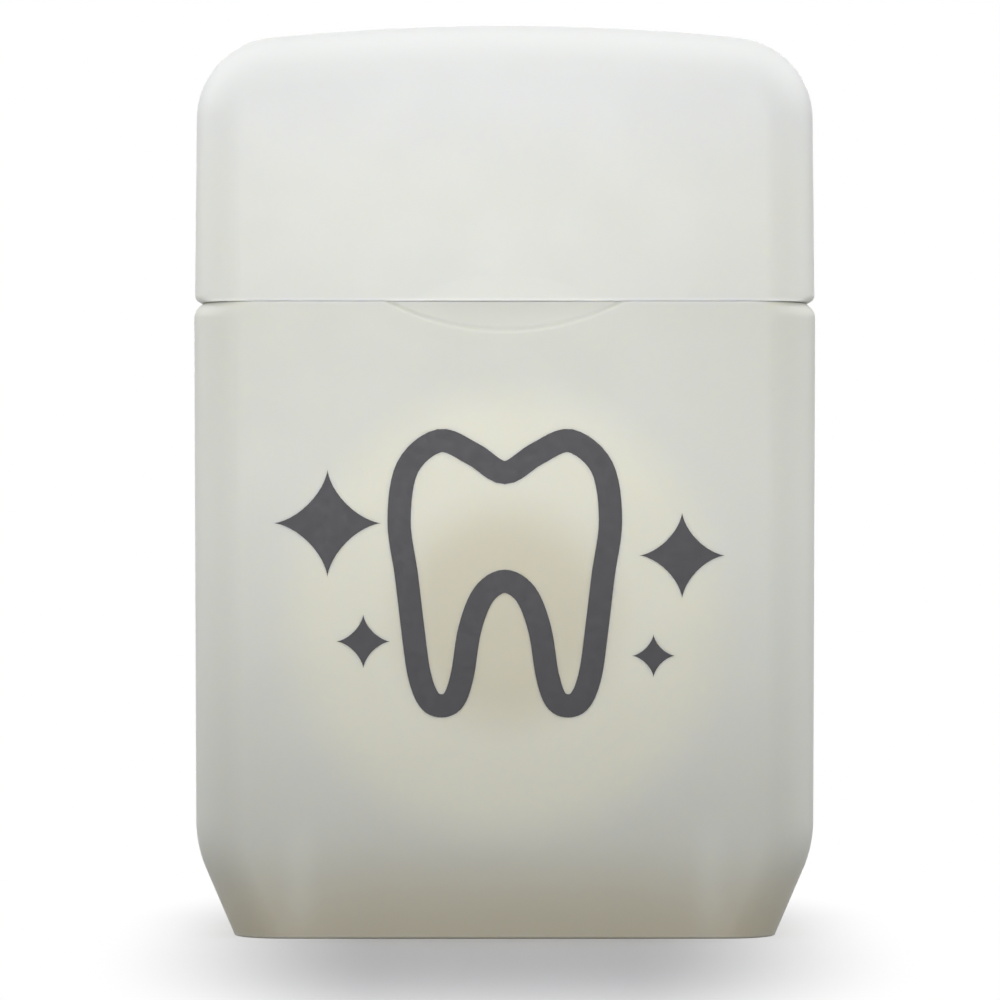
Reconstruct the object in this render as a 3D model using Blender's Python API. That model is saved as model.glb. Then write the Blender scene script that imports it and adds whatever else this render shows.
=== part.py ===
"""Flip-top dental floss dispenser.

A moulded case holds a snap-in frame. The frame carries the floss spool on a split axle, the outlet that the
floss comes up through, and a steel cutter. A domed lid swings back on two thin straps at the rear.

Units are metres. The origin is under the middle of the case's base, +Z is up and the front faces -Y.
"""

import math

import bmesh
import bpy
import numpy as np
from mathutils import Matrix, Vector

MM = 0.001

# General allowances
OVERRUN = 1.0 * MM  # how far a cutter runs past the face that it cuts
WELD_DEPTH = 0.3 * MM  # how far a joined shape is sunk into the piece that carries it
SEAT_GAP = 0.15 * MM  # between two pieces that sit on one another

# Case. Its height follows from the spool that it holds and the room left over and under it.
CASE_WIDTH = 35.0 * MM
CASE_DEPTH = 15.0 * MM
CASE_WALL = 1.2 * MM
CASE_FLOOR = 1.4 * MM
CASE_TAPER = 0.12 * MM  # each side leans in this much down to the chamfer
CHAMFER_INSET = 2.3 * MM
CHAMFER_HEIGHT = 5.05 * MM
CHAMFER_BLEND = 7.0 * MM  # radius where the side turns into the chamfer
BASE_RADIUS = 0.7 * MM
RIM_RADIUS = 0.6 * MM
FLOOR_RADIUS = 0.8 * MM
VERTICAL_RADIUS = 2.9 * MM  # of the four upright edges, and of the lid's front and back edges

# Thumb scoop in the case's front, under the lid's lip
SCOOP_CHORD = 13.8 * MM
SCOOP_DROP = 1.75 * MM
SCOOP_DEPTH = 0.5 * MM
SCOOP_STEP = 0.25 * MM  # slope of the step round the scoop

# Guide ribs inside the case, which the frame's deck rests on
RIB_THICKNESS = 0.9 * MM
RIB_SPREAD = 7.0 * MM  # between the two ribs of one side
RIB_REACH = 1.9 * MM

# Lid
LID_STEP = 0.05 * MM  # the lid's sides stand this far inside the case's
LID_HEIGHT = 15.45 * MM
LID_WALL = 1.1 * MM
LID_TAPER = 0.15 * MM
SEAM_GAP = 0.15 * MM
DOME_RADIUS = 130.0 * MM
LID_CORNER = 4.6 * MM
LID_EDGE = 0.35 * MM  # bevel round the lid's lower edge

# Lip on the lid's front
LIP_CHORD = 10.6 * MM
LIP_HEIGHT = 1.5 * MM
LIP_REACH = 0.5 * MM
LIP_END_SHARE = 0.97  # the lip is modelled over this share of its chord, so that its ends aren't needles
LIP_EDGE_SHARE = 0.2  # share of the lip's height that is upright

# Film hinge at the back: two straps, each let into the walls that it bridges
STRAP_WIDTH = 8.0 * MM
STRAP_SPREAD = 16.0 * MM  # between the middles of the two straps
STRAP_THICKNESS = 0.35 * MM  # at its two roots
STRAP_WAIST = 0.2 * MM  # at the fold
STRAP_HALF_HEIGHT = 1.3 * MM
STRAP_GAP = 0.1 * MM  # to the floor of its recess
STRAP_SIDE_GAP = 0.15 * MM

# Snap-in frame
FRAME_CLEARANCE = 0.15 * MM  # all round, inside the case
DECK_DROP = 0.3 * MM  # the deck's top lies this far below the case's rim
DECK_THICKNESS = 1.2 * MM
NECK_HEIGHT = 2.2 * MM
NECK_THICKNESS = 0.8 * MM
NECK_GAP = 0.25 * MM  # to the inside of the lid
BEAD_LENGTH = 9.0 * MM
BEAD_REACH = 0.12 * MM
BEAD_HALF_HEIGHT = 0.35 * MM
BEAD_HEIGHT = 1.1 * MM  # of the bead's middle over the lid's lower edge
GROOVE_DEPTH = 0.15 * MM
LUG_LENGTH = 6.0 * MM
LUG_HEIGHT = 0.9 * MM
LUG_REACH = 0.4 * MM  # into the pocket in the case's side wall
POCKET_CLEARANCE = 0.15 * MM
PLATE_THICKNESS = 1.0 * MM
PLATE_SPLAY_HEIGHT = 5.0 * MM
PLATE_SPLAY = 1.5 * MM
RAIL_THICKNESS = 1.0 * MM
RAIL_WALL_GAP = 2.3 * MM  # to the case's side walls, past the guide ribs
RAIL_CLEARANCE = 1.1 * MM  # between the spool's flanges and the rails
RAIL_FOOT_HEIGHT = 8.0 * MM
RAIL_FOOT_DEPTH = 2.0 * MM
RAIL_TOP_DEPTH = 8.2 * MM
RAIL_SHOULDER_DROP = 4.5 * MM
STANDOFF_INSET = 2.5 * MM  # from a rail's outer face to the middle of its stand-off
STANDOFF_THICKNESS = 1.6 * MM
STANDOFF_HEIGHT = 4.0 * MM

# Platform for the cutter
PLATFORM_MIDDLE = 0.55 * MM
PLATFORM_LENGTH = 8.6 * MM
PLATFORM_WIDTH = 6.0 * MM
PLATFORM_HEIGHT = 3.35 * MM  # over the deck
PLATFORM_WALL = 1.0 * MM
PLATFORM_RADIUS = 0.6 * MM

# Outlet that the floss comes up through
OUTLET_X = -8.0 * MM
OUTLET_BORE = 0.8 * MM
OUTLET_MOUTH = 1.3 * MM
OUTLET_RADIUS = 1.8 * MM
OUTLET_RISE = 1.5 * MM
OUTLET_SKIRT = 1.0 * MM
OUTLET_FLARE = 0.8 * MM  # height of each flared mouth

# Axle and spool
AXLE_RADIUS = 4.9 * MM
AXLE_WALL = 1.2 * MM
AXLE_SLOT = 1.0 * MM
AXLE_SLOT_DEPTH = 5.0 * MM
BARB_REACH = 0.45 * MM
BARB_LENGTH = 0.8 * MM
TIP_CLEARANCE = 0.85 * MM  # from the axle's tip to the case's front wall
SPOOL_CLEARANCE = 0.1 * MM  # round the axle
SPOOL_END_GAP = 0.2 * MM
SPOOL_CORE_WALL = 0.8 * MM
SPOOL_HEADROOM = 4.2 * MM  # between the flanges and the deck
SPOOL_FLOOR_GAP = 4.7 * MM
FLANGE_THICKNESS = 0.7 * MM
NOTCH_WIDTH = 1.0 * MM
NOTCH_DEPTH = 1.6 * MM

# Floss
WINDING_DEPTH = 0.7 * MM  # of the plain winding under the flanges' edge
WINDING_CROWN = 0.1 * MM
FLOSS_DIAMETER = 0.5 * MM
OUTER_TURNS = 7

# Cutter
CUTTER_THICKNESS = 0.3 * MM
CUTTER_LENGTH = 6.0 * MM
CUTTER_WIDTH = 5.0 * MM
CUTTER_GAP = 0.05 * MM  # over the platform
LEG_WIDTH = 2.4 * MM
LEG_LENGTH = 2.2 * MM
TONGUE_LENGTH = 4.0 * MM
TONGUE_WIDTH = 2.6 * MM
TONGUE_POINT = 0.4 * MM
TONGUE_END = 1.25 * MM  # from the tongue's root to the end of the plate
TONGUE_ANGLE = math.radians(20)
WINDOW_CLEARANCE = 0.2 * MM

# Steps of round stretches
CORNER_STEPS = 6
BLEND_STEPS = 4
DOME_STEPS = 8
EDGE_STEPS = 6
LIP_STEPS = 16
ROUND_STEPS = 48
LOOP_STEPS = 24

# Sizes that follow from the ones above
CAVITY_HALF_WIDTH = CASE_WIDTH / 2 - CASE_WALL
CAVITY_HALF_DEPTH = CASE_DEPTH / 2 - CASE_WALL
RAIL_OUTSIDE = CAVITY_HALF_WIDTH - RAIL_WALL_GAP
RAIL_INSIDE = RAIL_OUTSIDE - RAIL_THICKNESS
FLANGE_RADIUS = RAIL_INSIDE - RAIL_CLEARANCE
AXLE_HEIGHT = CASE_FLOOR + SPOOL_FLOOR_GAP + FLANGE_RADIUS
DECK_BOTTOM = AXLE_HEIGHT + FLANGE_RADIUS + SPOOL_HEADROOM
DECK_TOP = DECK_BOTTOM + DECK_THICKNESS
CASE_HEIGHT = DECK_TOP + DECK_DROP
LID_BOTTOM = CASE_HEIGHT + SEAM_GAP
LID_HALF_WIDTH = CASE_WIDTH / 2 - LID_STEP
HINGE_Y = CASE_DEPTH / 2  # the film folds at its outer face, flush with the walls
HINGE_Z = CASE_HEIGHT + SEAM_GAP / 2
RECESS_FLOOR = HINGE_Y - STRAP_THICKNESS - STRAP_GAP
DECK_HALF_WIDTH = CAVITY_HALF_WIDTH - FRAME_CLEARANCE
DECK_HALF_DEPTH = CAVITY_HALF_DEPTH - FRAME_CLEARANCE
DECK_RADIUS = VERTICAL_RADIUS - CASE_WALL - FRAME_CLEARANCE
NECK_HALF_WIDTH = LID_HALF_WIDTH - LID_WALL - NECK_GAP
NECK_HALF_DEPTH = CASE_DEPTH / 2 - LID_WALL - NECK_GAP
PLATE_BACK = CAVITY_HALF_DEPTH - FRAME_CLEARANCE
PLATE_FRONT = PLATE_BACK - PLATE_THICKNESS
FRAME_FOOT = CASE_FLOOR + FLOOR_RADIUS + SEAT_GAP
PLATFORM_TOP = DECK_TOP + PLATFORM_HEIGHT
AXLE_TIP = TIP_CLEARANCE - CAVITY_HALF_DEPTH
SPOOL_BACK = PLATE_FRONT - SPOOL_END_GAP
SPOOL_FRONT = AXLE_TIP + BARB_LENGTH + SPOOL_END_GAP
SPOOL_BORE = AXLE_RADIUS + SPOOL_CLEARANCE
CORE_RADIUS = SPOOL_BORE + SPOOL_CORE_WALL
WINDING_RADIUS = FLANGE_RADIUS - WINDING_DEPTH
WINDING_BACK = SPOOL_BACK - FLANGE_THICKNESS
WINDING_FRONT = SPOOL_FRONT + FLANGE_THICKNESS
CUTTER_BOTTOM = PLATFORM_TOP + CUTTER_GAP
CUTTER_TOP = CUTTER_BOTTOM + CUTTER_THICKNESS

# The floss from the spool to its free end: up beside the spool, through the outlet, across to the cutter,
# under its tongue and down to the deck.
STRAND_ROUTE = [
    (-11.59 * MM, 0.25 * MM, 21.65 * MM),
    (-10.50 * MM, 0.22 * MM, 25.10 * MM),
    (-9.35 * MM, 0.15 * MM, 28.70 * MM),
    (-8.45 * MM, 0.06 * MM, 31.80 * MM),
    (-8.05 * MM, 0.00 * MM, 34.20 * MM),
    (-7.98 * MM, 0.00 * MM, 35.70 * MM),
    (-7.85 * MM, -0.05 * MM, 36.75 * MM),
    (-7.20 * MM, -0.30 * MM, 37.80 * MM),
    (-6.00 * MM, -0.85 * MM, 38.60 * MM),
    (-4.20 * MM, -1.35 * MM, 39.15 * MM),
    (-2.40 * MM, -1.30 * MM, 39.36 * MM),
    (-0.95 * MM, -0.80 * MM, 39.33 * MM),
    (-0.25 * MM, 0.00 * MM, 39.31 * MM),
    (0.30 * MM, 0.90 * MM, 39.33 * MM),
    (1.20 * MM, 1.90 * MM, 39.38 * MM),
    (2.60 * MM, 2.60 * MM, 39.42 * MM),
    (4.10 * MM, 2.95 * MM, 39.30 * MM),
    (5.40 * MM, 3.10 * MM, 38.60 * MM),
    (6.40 * MM, 3.15 * MM, 37.50 * MM),
    (7.20 * MM, 3.10 * MM, 36.40 * MM),
    (8.30 * MM, 2.95 * MM, 35.75 * MM),
    (9.90 * MM, 2.60 * MM, 35.66 * MM),
]
STRAND_SPACING = 1.1 * MM


def clear_scene():
    for old in list(bpy.data.objects):
        bpy.data.objects.remove(old)


def plastic(name, colour, roughness, metallic=0.0):
    """A Principled material of one plain colour."""
    material = bpy.data.materials.new(name)
    material.use_nodes = True
    shader = material.node_tree.nodes["Principled BSDF"]
    shader.inputs["Base Color"].default_value = (*colour, 1.0)
    shader.inputs["Roughness"].default_value = roughness
    shader.inputs["Metallic"].default_value = metallic
    material.diffuse_color = (*colour, 1.0)
    return material


def mesh_object(name, bm, material=None):
    """Turns a bmesh into an object with outward faces. Without a material it is a hidden tool."""
    bmesh.ops.recalc_face_normals(bm, faces=bm.faces)
    mesh = bpy.data.meshes.new(name)
    bm.to_mesh(mesh)
    bm.free()
    mesh.shade_smooth()
    mesh.set_sharp_from_angle(angle=math.radians(30))
    made = bpy.data.objects.new(name, mesh)
    bpy.context.scene.collection.objects.link(made)
    if material:
        mesh.materials.append(material)
    else:
        made.hide_render = True
        made.display_type = "WIRE"
    return made


def boolean(target, tool, operation):
    modifier = target.modifiers.new(f"{operation.lower()} {tool.name}", "BOOLEAN")
    modifier.operation = operation
    modifier.object = tool


def add(target, tool):
    boolean(target, tool, "UNION")


def cut(target, tool):
    boolean(target, tool, "DIFFERENCE")


def hang_from(pivot, *pieces):
    """Parents pieces to an empty without moving them."""
    bpy.context.view_layer.update()
    for piece in pieces:
        piece.parent = pivot
        piece.matrix_parent_inverse = pivot.matrix_world.inverted()


def pivot_at(name, place):
    pivot = bpy.data.objects.new(name, None)
    bpy.context.scene.collection.objects.link(pivot)
    pivot.location = place
    pivot.empty_display_size = CASE_WALL
    return pivot


def arc(centre, radius, start, end, steps):
    """Points of an arc from one angle to another, both ends included."""
    return [
        Vector((centre[0] + radius * math.cos(a), centre[1] + radius * math.sin(a)))
        for a in np.linspace(start, end, steps + 1)
    ]


def rounded_path(corners, radii, steps):
    """A path through 2-D corners, with every corner between the two ends rounded to its radius."""
    path = [Vector(corners[0])]
    for before, corner, after, radius in zip(corners, corners[1:], corners[2:], radii):
        corner = Vector(corner)
        back = (Vector(before) - corner).normalized()
        ahead = (Vector(after) - corner).normalized()
        half_angle = back.angle(ahead) / 2
        centre = corner + (back + ahead).normalized() * radius / math.sin(half_angle)
        first = corner + back * radius / math.tan(half_angle) - centre
        last = corner + ahead * radius / math.tan(half_angle) - centre
        start = math.atan2(first.y, first.x)
        turn = math.remainder(math.atan2(last.y, last.x) - start, math.tau)
        path += arc(centre, radius, start, start + turn, steps)
    path.append(Vector(corners[-1]))
    return path


def inset_path(corners, distances):
    """Moves each stretch of a 2-D path to its left by its own distance, and gives the new corners."""
    lines = []
    for a, b, distance in zip(corners, corners[1:], distances):
        along = (Vector(b) - Vector(a)).normalized()
        left = Vector((-along.y, along.x))
        lines.append((Vector(a) + left * distance, along))
    moved = [lines[0][0]]
    for (p, d), (q, e) in zip(lines, lines[1:]):
        share = (q - p).cross(e) / d.cross(e)
        moved.append(p + d * share)
    moved.append(Vector(corners[-1]) + (lines[-1][0] - Vector(corners[-2])))
    return moved


def rounded_rectangle(half_width, half_depth, radius):
    """Corner arcs of a rounded rectangle, as 2-D points."""
    x, y = half_width - radius, half_depth - radius
    points = []
    for quarter, centre in enumerate([(x, y), (-x, y), (-x, -y), (x, -y)]):
        start = quarter * math.pi / 2
        points += arc(centre, radius, start, start + math.pi / 2, CORNER_STEPS)
    return points


def loft(rings):
    """A closed solid through rings of equally many 3-D points, capped at both ends."""
    bm = bmesh.new()
    loops = [[bm.verts.new(point) for point in ring] for ring in rings]
    for lower, upper in zip(loops, loops[1:]):
        for i, corner in enumerate(lower):
            bm.faces.new((lower[i - 1], corner, upper[i], upper[i - 1]))
    bm.faces.new(loops[0])
    bm.faces.new(loops[-1])
    bmesh.ops.recalc_face_normals(bm, faces=bm.faces)
    return bm


def standing(outline, low, high):
    """An upright prism on a plan outline."""
    return loft([[(*point, z) for point in outline] for z in (low, high)])


def facing_front(outline, front, back):
    """A prism along Y from an (x, z) outline."""
    return loft([[(x, y, z) for x, z in outline] for y in (front, back)])


def facing_side(outline, left, right):
    """A prism along X from a (y, z) outline."""
    return loft([[(x, y, z) for y, z in outline] for x in (left, right)])


def block(low, high):
    """A box between two corners."""
    outline = [(low[0], low[1]), (high[0], low[1]), (high[0], high[1]), (low[0], high[1])]
    return standing(outline, low[2], high[2])


def turned(profile, steps=ROUND_STEPS):
    """A body turned about Z from a closed (radius, height) profile that stays off the axis."""
    bm = bmesh.new()
    rings = []
    for angle in np.linspace(0, math.tau, steps, endpoint=False):
        c, s = math.cos(angle), math.sin(angle)
        rings.append([bm.verts.new((r * c, r * s, h)) for r, h in profile])
    for i, ring in enumerate(rings):
        before = rings[i - 1]
        for j in range(len(ring)):
            bm.faces.new((before[j - 1], before[j], ring[j], ring[j - 1]))
    return bm


def about_spool_axis(bm):
    """Lays a body turned about Z on the spool's axis: its heights then run towards the back."""
    turn = Matrix.Translation((0, 0, AXLE_HEIGHT)) @ Matrix.Rotation(-math.pi / 2, 4, "X")
    bmesh.ops.transform(bm, matrix=turn, verts=bm.verts)
    return bm


def side_by_side(build):
    """Builds the same thing on the right and on the left: build gets 1, then -1."""
    return [build(side) for side in (1, -1)]


def stacked_rings(width_path, depth_path, corner_radius):
    """Rounded rectangles at each height of two side outlines, (half-width, z) and (half-depth, z)."""
    widths, width_heights = zip(*width_path)
    depths, depth_heights = zip(*depth_path)
    heights = sorted({round(z, 9) for z in width_heights + depth_heights})
    fullest = max(depths)
    rings = []
    for z in heights:
        half_width = np.interp(z, width_heights, widths)
        half_depth = np.interp(z, depth_heights, depths)
        radius = corner_radius - (fullest - half_depth)
        outline = rounded_rectangle(half_width, half_depth, radius)
        rings.append([(*point, z) for point in outline])
    return rings


def case_corners():
    """The case's right side in the front view, from the middle of the base up to the rim."""
    half = CASE_WIDTH / 2
    return [
        (0, 0),
        (half - CHAMFER_INSET, 0),
        (half - CASE_TAPER, CHAMFER_HEIGHT),
        (half, CASE_HEIGHT),
    ]


def case_solid():
    """The outside of the case, filled."""
    half_depth = CASE_DEPTH / 2
    corners = case_corners() + [(0, CASE_HEIGHT)]
    width_path = rounded_path(corners, [BASE_RADIUS, CHAMFER_BLEND, RIM_RADIUS], BLEND_STEPS)
    depth_corners = [(0, 0), (half_depth, 0), (half_depth, CASE_HEIGHT), (0, CASE_HEIGHT)]
    depth_path = rounded_path(depth_corners, [BASE_RADIUS, RIM_RADIUS], BLEND_STEPS)
    return loft(stacked_rings(width_path[1:-1], depth_path[1:-1], VERTICAL_RADIUS))


def case_core():
    """The space inside the case, running out past the rim."""
    corners = inset_path(case_corners(), [CASE_FLOOR, CASE_WALL, CASE_WALL])
    top = CASE_HEIGHT + OVERRUN
    corners[-1] = Vector((CAVITY_HALF_WIDTH, top))
    width_path = rounded_path(corners, [FLOOR_RADIUS, CHAMFER_BLEND], BLEND_STEPS)
    depth_corners = [(0, CASE_FLOOR), (CAVITY_HALF_DEPTH, CASE_FLOOR), (CAVITY_HALF_DEPTH, top)]
    depth_path = rounded_path(depth_corners, [FLOOR_RADIUS], BLEND_STEPS)
    return loft(stacked_rings(width_path[1:], depth_path[1:], VERTICAL_RADIUS - CASE_WALL))


def guide_rib(side, y):
    """Block that leaves a rib standing on one side wall when it is taken out of the core."""
    inside = CAVITY_HALF_WIDTH - RIB_REACH
    outside = CASE_WIDTH / 2 + OVERRUN
    low = (min(side * inside, side * outside), y - RIB_THICKNESS / 2, CASE_FLOOR - OVERRUN)
    high = (max(side * inside, side * outside), y + RIB_THICKNESS / 2, DECK_BOTTOM - SEAT_GAP)
    return mesh_object("guide_rib", block(low, high))


def lens_radius(chord, rise):
    """Radius of the arc over a chord."""
    return (chord * chord / 4 + rise * rise) / (2 * rise)


def scoop():
    """Thumb scoop: a shallow round-bottomed step, wider at the face than at its floor."""
    radius = lens_radius(SCOOP_CHORD, SCOOP_DROP)
    reach = math.asin(SCOOP_CHORD / 2 / radius)
    centre = (0, CASE_HEIGHT - SCOOP_DROP + radius)
    face = -CASE_DEPTH / 2
    rings = []
    for y, inset in ((face - OVERRUN, 0), (face, 0), (face + SCOOP_DEPTH, SCOOP_STEP)):
        bottom = arc(centre, radius - inset, -math.pi / 2 - reach, -math.pi / 2 + reach, LIP_STEPS)
        top = CASE_HEIGHT + OVERRUN
        ring = [Vector((bottom[0].x, top)), *bottom, Vector((bottom[-1].x, top))]
        rings.append([(x, y, z) for x, z in ring])
    return loft(rings)


def lug_outline(side, clearance):
    """A retaining lug in the front view, grown by a clearance for the pocket that takes it."""
    inside = DECK_HALF_WIDTH - WELD_DEPTH
    outside = CAVITY_HALF_WIDTH + LUG_REACH + clearance
    low = DECK_BOTTOM - clearance
    high = DECK_BOTTOM + LUG_HEIGHT + clearance
    shoulder = DECK_BOTTOM + LUG_HEIGHT - LUG_REACH - clearance
    wedge = [(inside, low), (DECK_HALF_WIDTH, low), (outside, shoulder), (outside, high), (inside, high)]
    return [(side * x, z) for x, z in wedge]


def make_case(material):
    case = mesh_object("case_body", case_solid(), material)
    core = mesh_object("case_core", case_core())
    for y in (-RIB_SPREAD / 2, RIB_SPREAD / 2):
        for rib in side_by_side(lambda side: guide_rib(side, y)):
            cut(core, rib)
    cut(case, core)
    cut(case, mesh_object("thumb_scoop", scoop()))
    reach = LUG_LENGTH / 2 + POCKET_CLEARANCE
    for side in (1, -1):
        pocket = facing_front(lug_outline(side, POCKET_CLEARANCE), -reach, reach)
        cut(case, mesh_object("lug_pocket", pocket))
    for recess in side_by_side(strap_recess):
        cut(case, recess)
    return case


def lid_outline(inset, bottom):
    """The lid's front view moved in by inset, from its lower right corner over the dome to its lower left."""
    lean = math.atan2(LID_TAPER, LID_HEIGHT)
    up = Vector((-math.sin(lean), math.cos(lean)))
    inward = Vector((-math.cos(lean), -math.sin(lean)))
    foot = Vector((LID_HALF_WIDTH, LID_BOTTOM)) + inward * inset
    dome = Vector((0, LID_BOTTOM + LID_HEIGHT - DOME_RADIUS))
    dome_radius = DOME_RADIUS - inset
    corner_radius = LID_CORNER - inset
    # The corner's centre lies one corner radius in from the side and from the dome.
    start = foot + inward * corner_radius - dome
    along = start.dot(up)
    beyond = start.length_squared - (dome_radius - corner_radius) ** 2
    rise = -along + math.sqrt(along * along - beyond)
    centre = dome + start + up * rise
    dome_angle = math.atan2(centre.y - dome.y, centre.x - dome.x)
    right = [Vector((foot.x, bottom))]
    right += arc(centre, corner_radius, lean, dome_angle, CORNER_STEPS)
    right += arc(dome, dome_radius, dome_angle, math.pi / 2, DOME_STEPS)[1:]
    left = [Vector((-point.x, point.y)) for point in reversed(right[:-1])]
    return right + left


def lid_solid(wall, bottom):
    """The lid's outside, or with a wall the space inside it, as outlines set side by side along Y."""
    half_depth = CASE_DEPTH / 2 - wall
    radius = VERTICAL_RADIUS - wall
    stations = []
    for angle in np.linspace(0, math.pi / 2, EDGE_STEPS + 1):
        inset = wall + radius * (1 - math.sin(angle))
        stations.append((half_depth - radius + radius * math.cos(angle), inset))
    front = [(-y, inset) for y, inset in stations]
    rings = []
    for y, inset in front + stations[::-1]:
        rings.append([(x, y, z) for x, z in lid_outline(inset, bottom)])
    return loft(rings)


def bevel_lower_edge(bm, z, width):
    """Makes one face of what lies at the lowest height, and bevels the edge round it."""
    flat = [face for face in bm.faces if all(abs(vert.co.z - z) < width / 10 for vert in face.verts)]
    base = bmesh.ops.dissolve_faces(bm, faces=flat)["region"][0]
    bmesh.ops.bevel(bm, geom=list(base.edges), offset=width, segments=2, profile=0.5, affect="EDGES")
    return bm


def lip():
    """The lens-shaped lip that a thumb lifts the lid by. It stands out most in the middle of its lower edge."""
    radius = lens_radius(LIP_CHORD, LIP_HEIGHT)
    face = -CASE_DEPTH / 2
    inside = face + LID_EDGE + WELD_DEPTH
    half = LIP_CHORD / 2 * LIP_END_SHARE
    rings = []
    for x in np.linspace(-half, half, LIP_STEPS + 1):
        height = math.sqrt(radius * radius - x * x) - (radius - LIP_HEIGHT)
        reach = LIP_REACH * height / LIP_HEIGHT
        shoulder = LID_BOTTOM + height * LIP_EDGE_SHARE
        section = [
            (inside, LID_BOTTOM),
            (face - reach, LID_BOTTOM),
            (face - reach, shoulder),
            (face, LID_BOTTOM + height),
            (inside, LID_BOTTOM + height),
        ]
        rings.append([(x, y, z) for y, z in section])
    return loft(rings)


def make_lid(material):
    outside = bevel_lower_edge(lid_solid(0, LID_BOTTOM), LID_BOTTOM, LID_EDGE)
    lid = mesh_object("flip_lid", outside, material)
    thumb_lip = mesh_object("thumb_lip", lip())
    inside = mesh_object("lid_core", lid_solid(LID_WALL, LID_BOTTOM - OVERRUN))
    wall = LID_WALL - CASE_DEPTH / 2
    reach = BEAD_LENGTH / 2 + POCKET_CLEARANCE
    half_height = BEAD_HALF_HEIGHT + POCKET_CLEARANCE
    middle = LID_BOTTOM + BEAD_HEIGHT
    low = (-reach, wall - GROOVE_DEPTH, middle - half_height)
    high = (reach, wall + WELD_DEPTH, middle + half_height)
    groove = mesh_object("snap_groove", block(low, high))
    add(lid, thumb_lip)
    cut(lid, inside)
    cut(lid, groove)
    recesses = side_by_side(strap_recess)
    for recess in recesses:
        cut(lid, recess)
    return lid, [thumb_lip, inside, groove, *recesses]


def strap_recess(side):
    """The shallow recess across the seam that one strap lies in."""
    middle = side * STRAP_SPREAD / 2
    half = STRAP_WIDTH / 2 + STRAP_SIDE_GAP
    rise = STRAP_HALF_HEIGHT + STRAP_SIDE_GAP
    low = (middle - half, RECESS_FLOOR, HINGE_Z - rise)
    high = (middle + half, HINGE_Y + OVERRUN, HINGE_Z + rise)
    return mesh_object("strap_recess", block(low, high))


def strap(side, material):
    """One film of the hinge: flat outside, and thinned from inside towards the fold."""
    half_thinning = (STRAP_THICKNESS - STRAP_WAIST) / 2
    shares = np.linspace(-1, 1, BLEND_STEPS * 4 + 1)
    inner = []
    for share in shares:
        thinning = half_thinning * (1 + math.cos(math.pi * share))
        inner.append((HINGE_Y - STRAP_THICKNESS + thinning, HINGE_Z + share * STRAP_HALF_HEIGHT))
    outer = [(HINGE_Y, HINGE_Z + STRAP_HALF_HEIGHT), (HINGE_Y, HINGE_Z - STRAP_HALF_HEIGHT)]
    middle = side * STRAP_SPREAD / 2
    name = "hinge_strap_right" if side > 0 else "hinge_strap_left"
    film = facing_side(inner + outer, middle - STRAP_WIDTH / 2, middle + STRAP_WIDTH / 2)
    return mesh_object(name, film, material)


def neck(half_width, half_depth, low, high):
    outline = rounded_rectangle(half_width, half_depth, DECK_RADIUS)
    return standing(outline, low, high)


def plate_outline():
    """The frame's back plate in the front view, splayed above its feet."""
    top = DECK_BOTTOM + WELD_DEPTH
    foot = RAIL_OUTSIDE - PLATE_SPLAY
    shoulder = FRAME_FOOT + PLATE_SPLAY_HEIGHT
    right = [(foot, FRAME_FOOT), (RAIL_OUTSIDE, shoulder), (RAIL_OUTSIDE, top)]
    return right + [(-x, z) for x, z in reversed(right)]


def rail_outline():
    """A side rail seen from the side: deep at the deck and shallow at its foot."""
    top = DECK_BOTTOM + WELD_DEPTH
    back = PLATE_FRONT + WELD_DEPTH
    return [
        (back, RAIL_FOOT_HEIGHT),
        (PLATE_FRONT - RAIL_FOOT_DEPTH, RAIL_FOOT_HEIGHT),
        (PLATE_FRONT - RAIL_TOP_DEPTH, DECK_BOTTOM - RAIL_SHOULDER_DROP),
        (PLATE_FRONT - RAIL_TOP_DEPTH, top),
        (back, top),
    ]


def axle_profile():
    """Half section of the hollow axle with its barb, heights running from the tip back to the plate."""
    inner = AXLE_RADIUS - AXLE_WALL
    back = PLATE_FRONT + WELD_DEPTH
    barb_end = AXLE_TIP + BARB_LENGTH
    return [
        (inner, back),
        (inner, AXLE_TIP),
        (AXLE_RADIUS, AXLE_TIP),
        (AXLE_RADIUS + BARB_REACH, barb_end - BARB_LENGTH / 2),
        (AXLE_RADIUS + BARB_REACH, barb_end),
        (AXLE_RADIUS, barb_end),
        (AXLE_RADIUS, back),
    ]


def outlet_body():
    """The outlet's wall, with a flared mouth at each end of its bore, turned about the floss."""
    low = DECK_BOTTOM - OUTLET_SKIRT
    high = DECK_TOP + OUTLET_RISE
    profile = [
        (OUTLET_MOUTH, low),
        (OUTLET_RADIUS, low),
        (OUTLET_RADIUS, high),
        (OUTLET_MOUTH, high),
        (OUTLET_BORE, high - OUTLET_FLARE),
        (OUTLET_BORE, low + OUTLET_FLARE),
    ]
    return profile


def at_outlet(bm):
    bmesh.ops.translate(bm, vec=(OUTLET_X, 0, 0), verts=bm.verts)
    return bm


def disc(radius, low, high):
    """A plain round cutter about Z."""
    return standing(arc((0, 0), radius, 0, math.tau, ROUND_STEPS)[:-1], low, high)


def cutter_leg_places():
    """Where the cutter's two legs go down, as (inner, outer) X."""
    half = CUTTER_LENGTH / 2
    right = (PLATFORM_MIDDLE + half - CUTTER_THICKNESS, PLATFORM_MIDDLE + half)
    left = (PLATFORM_MIDDLE - half, PLATFORM_MIDDLE - half + CUTTER_THICKNESS)
    return [right, left]


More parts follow.
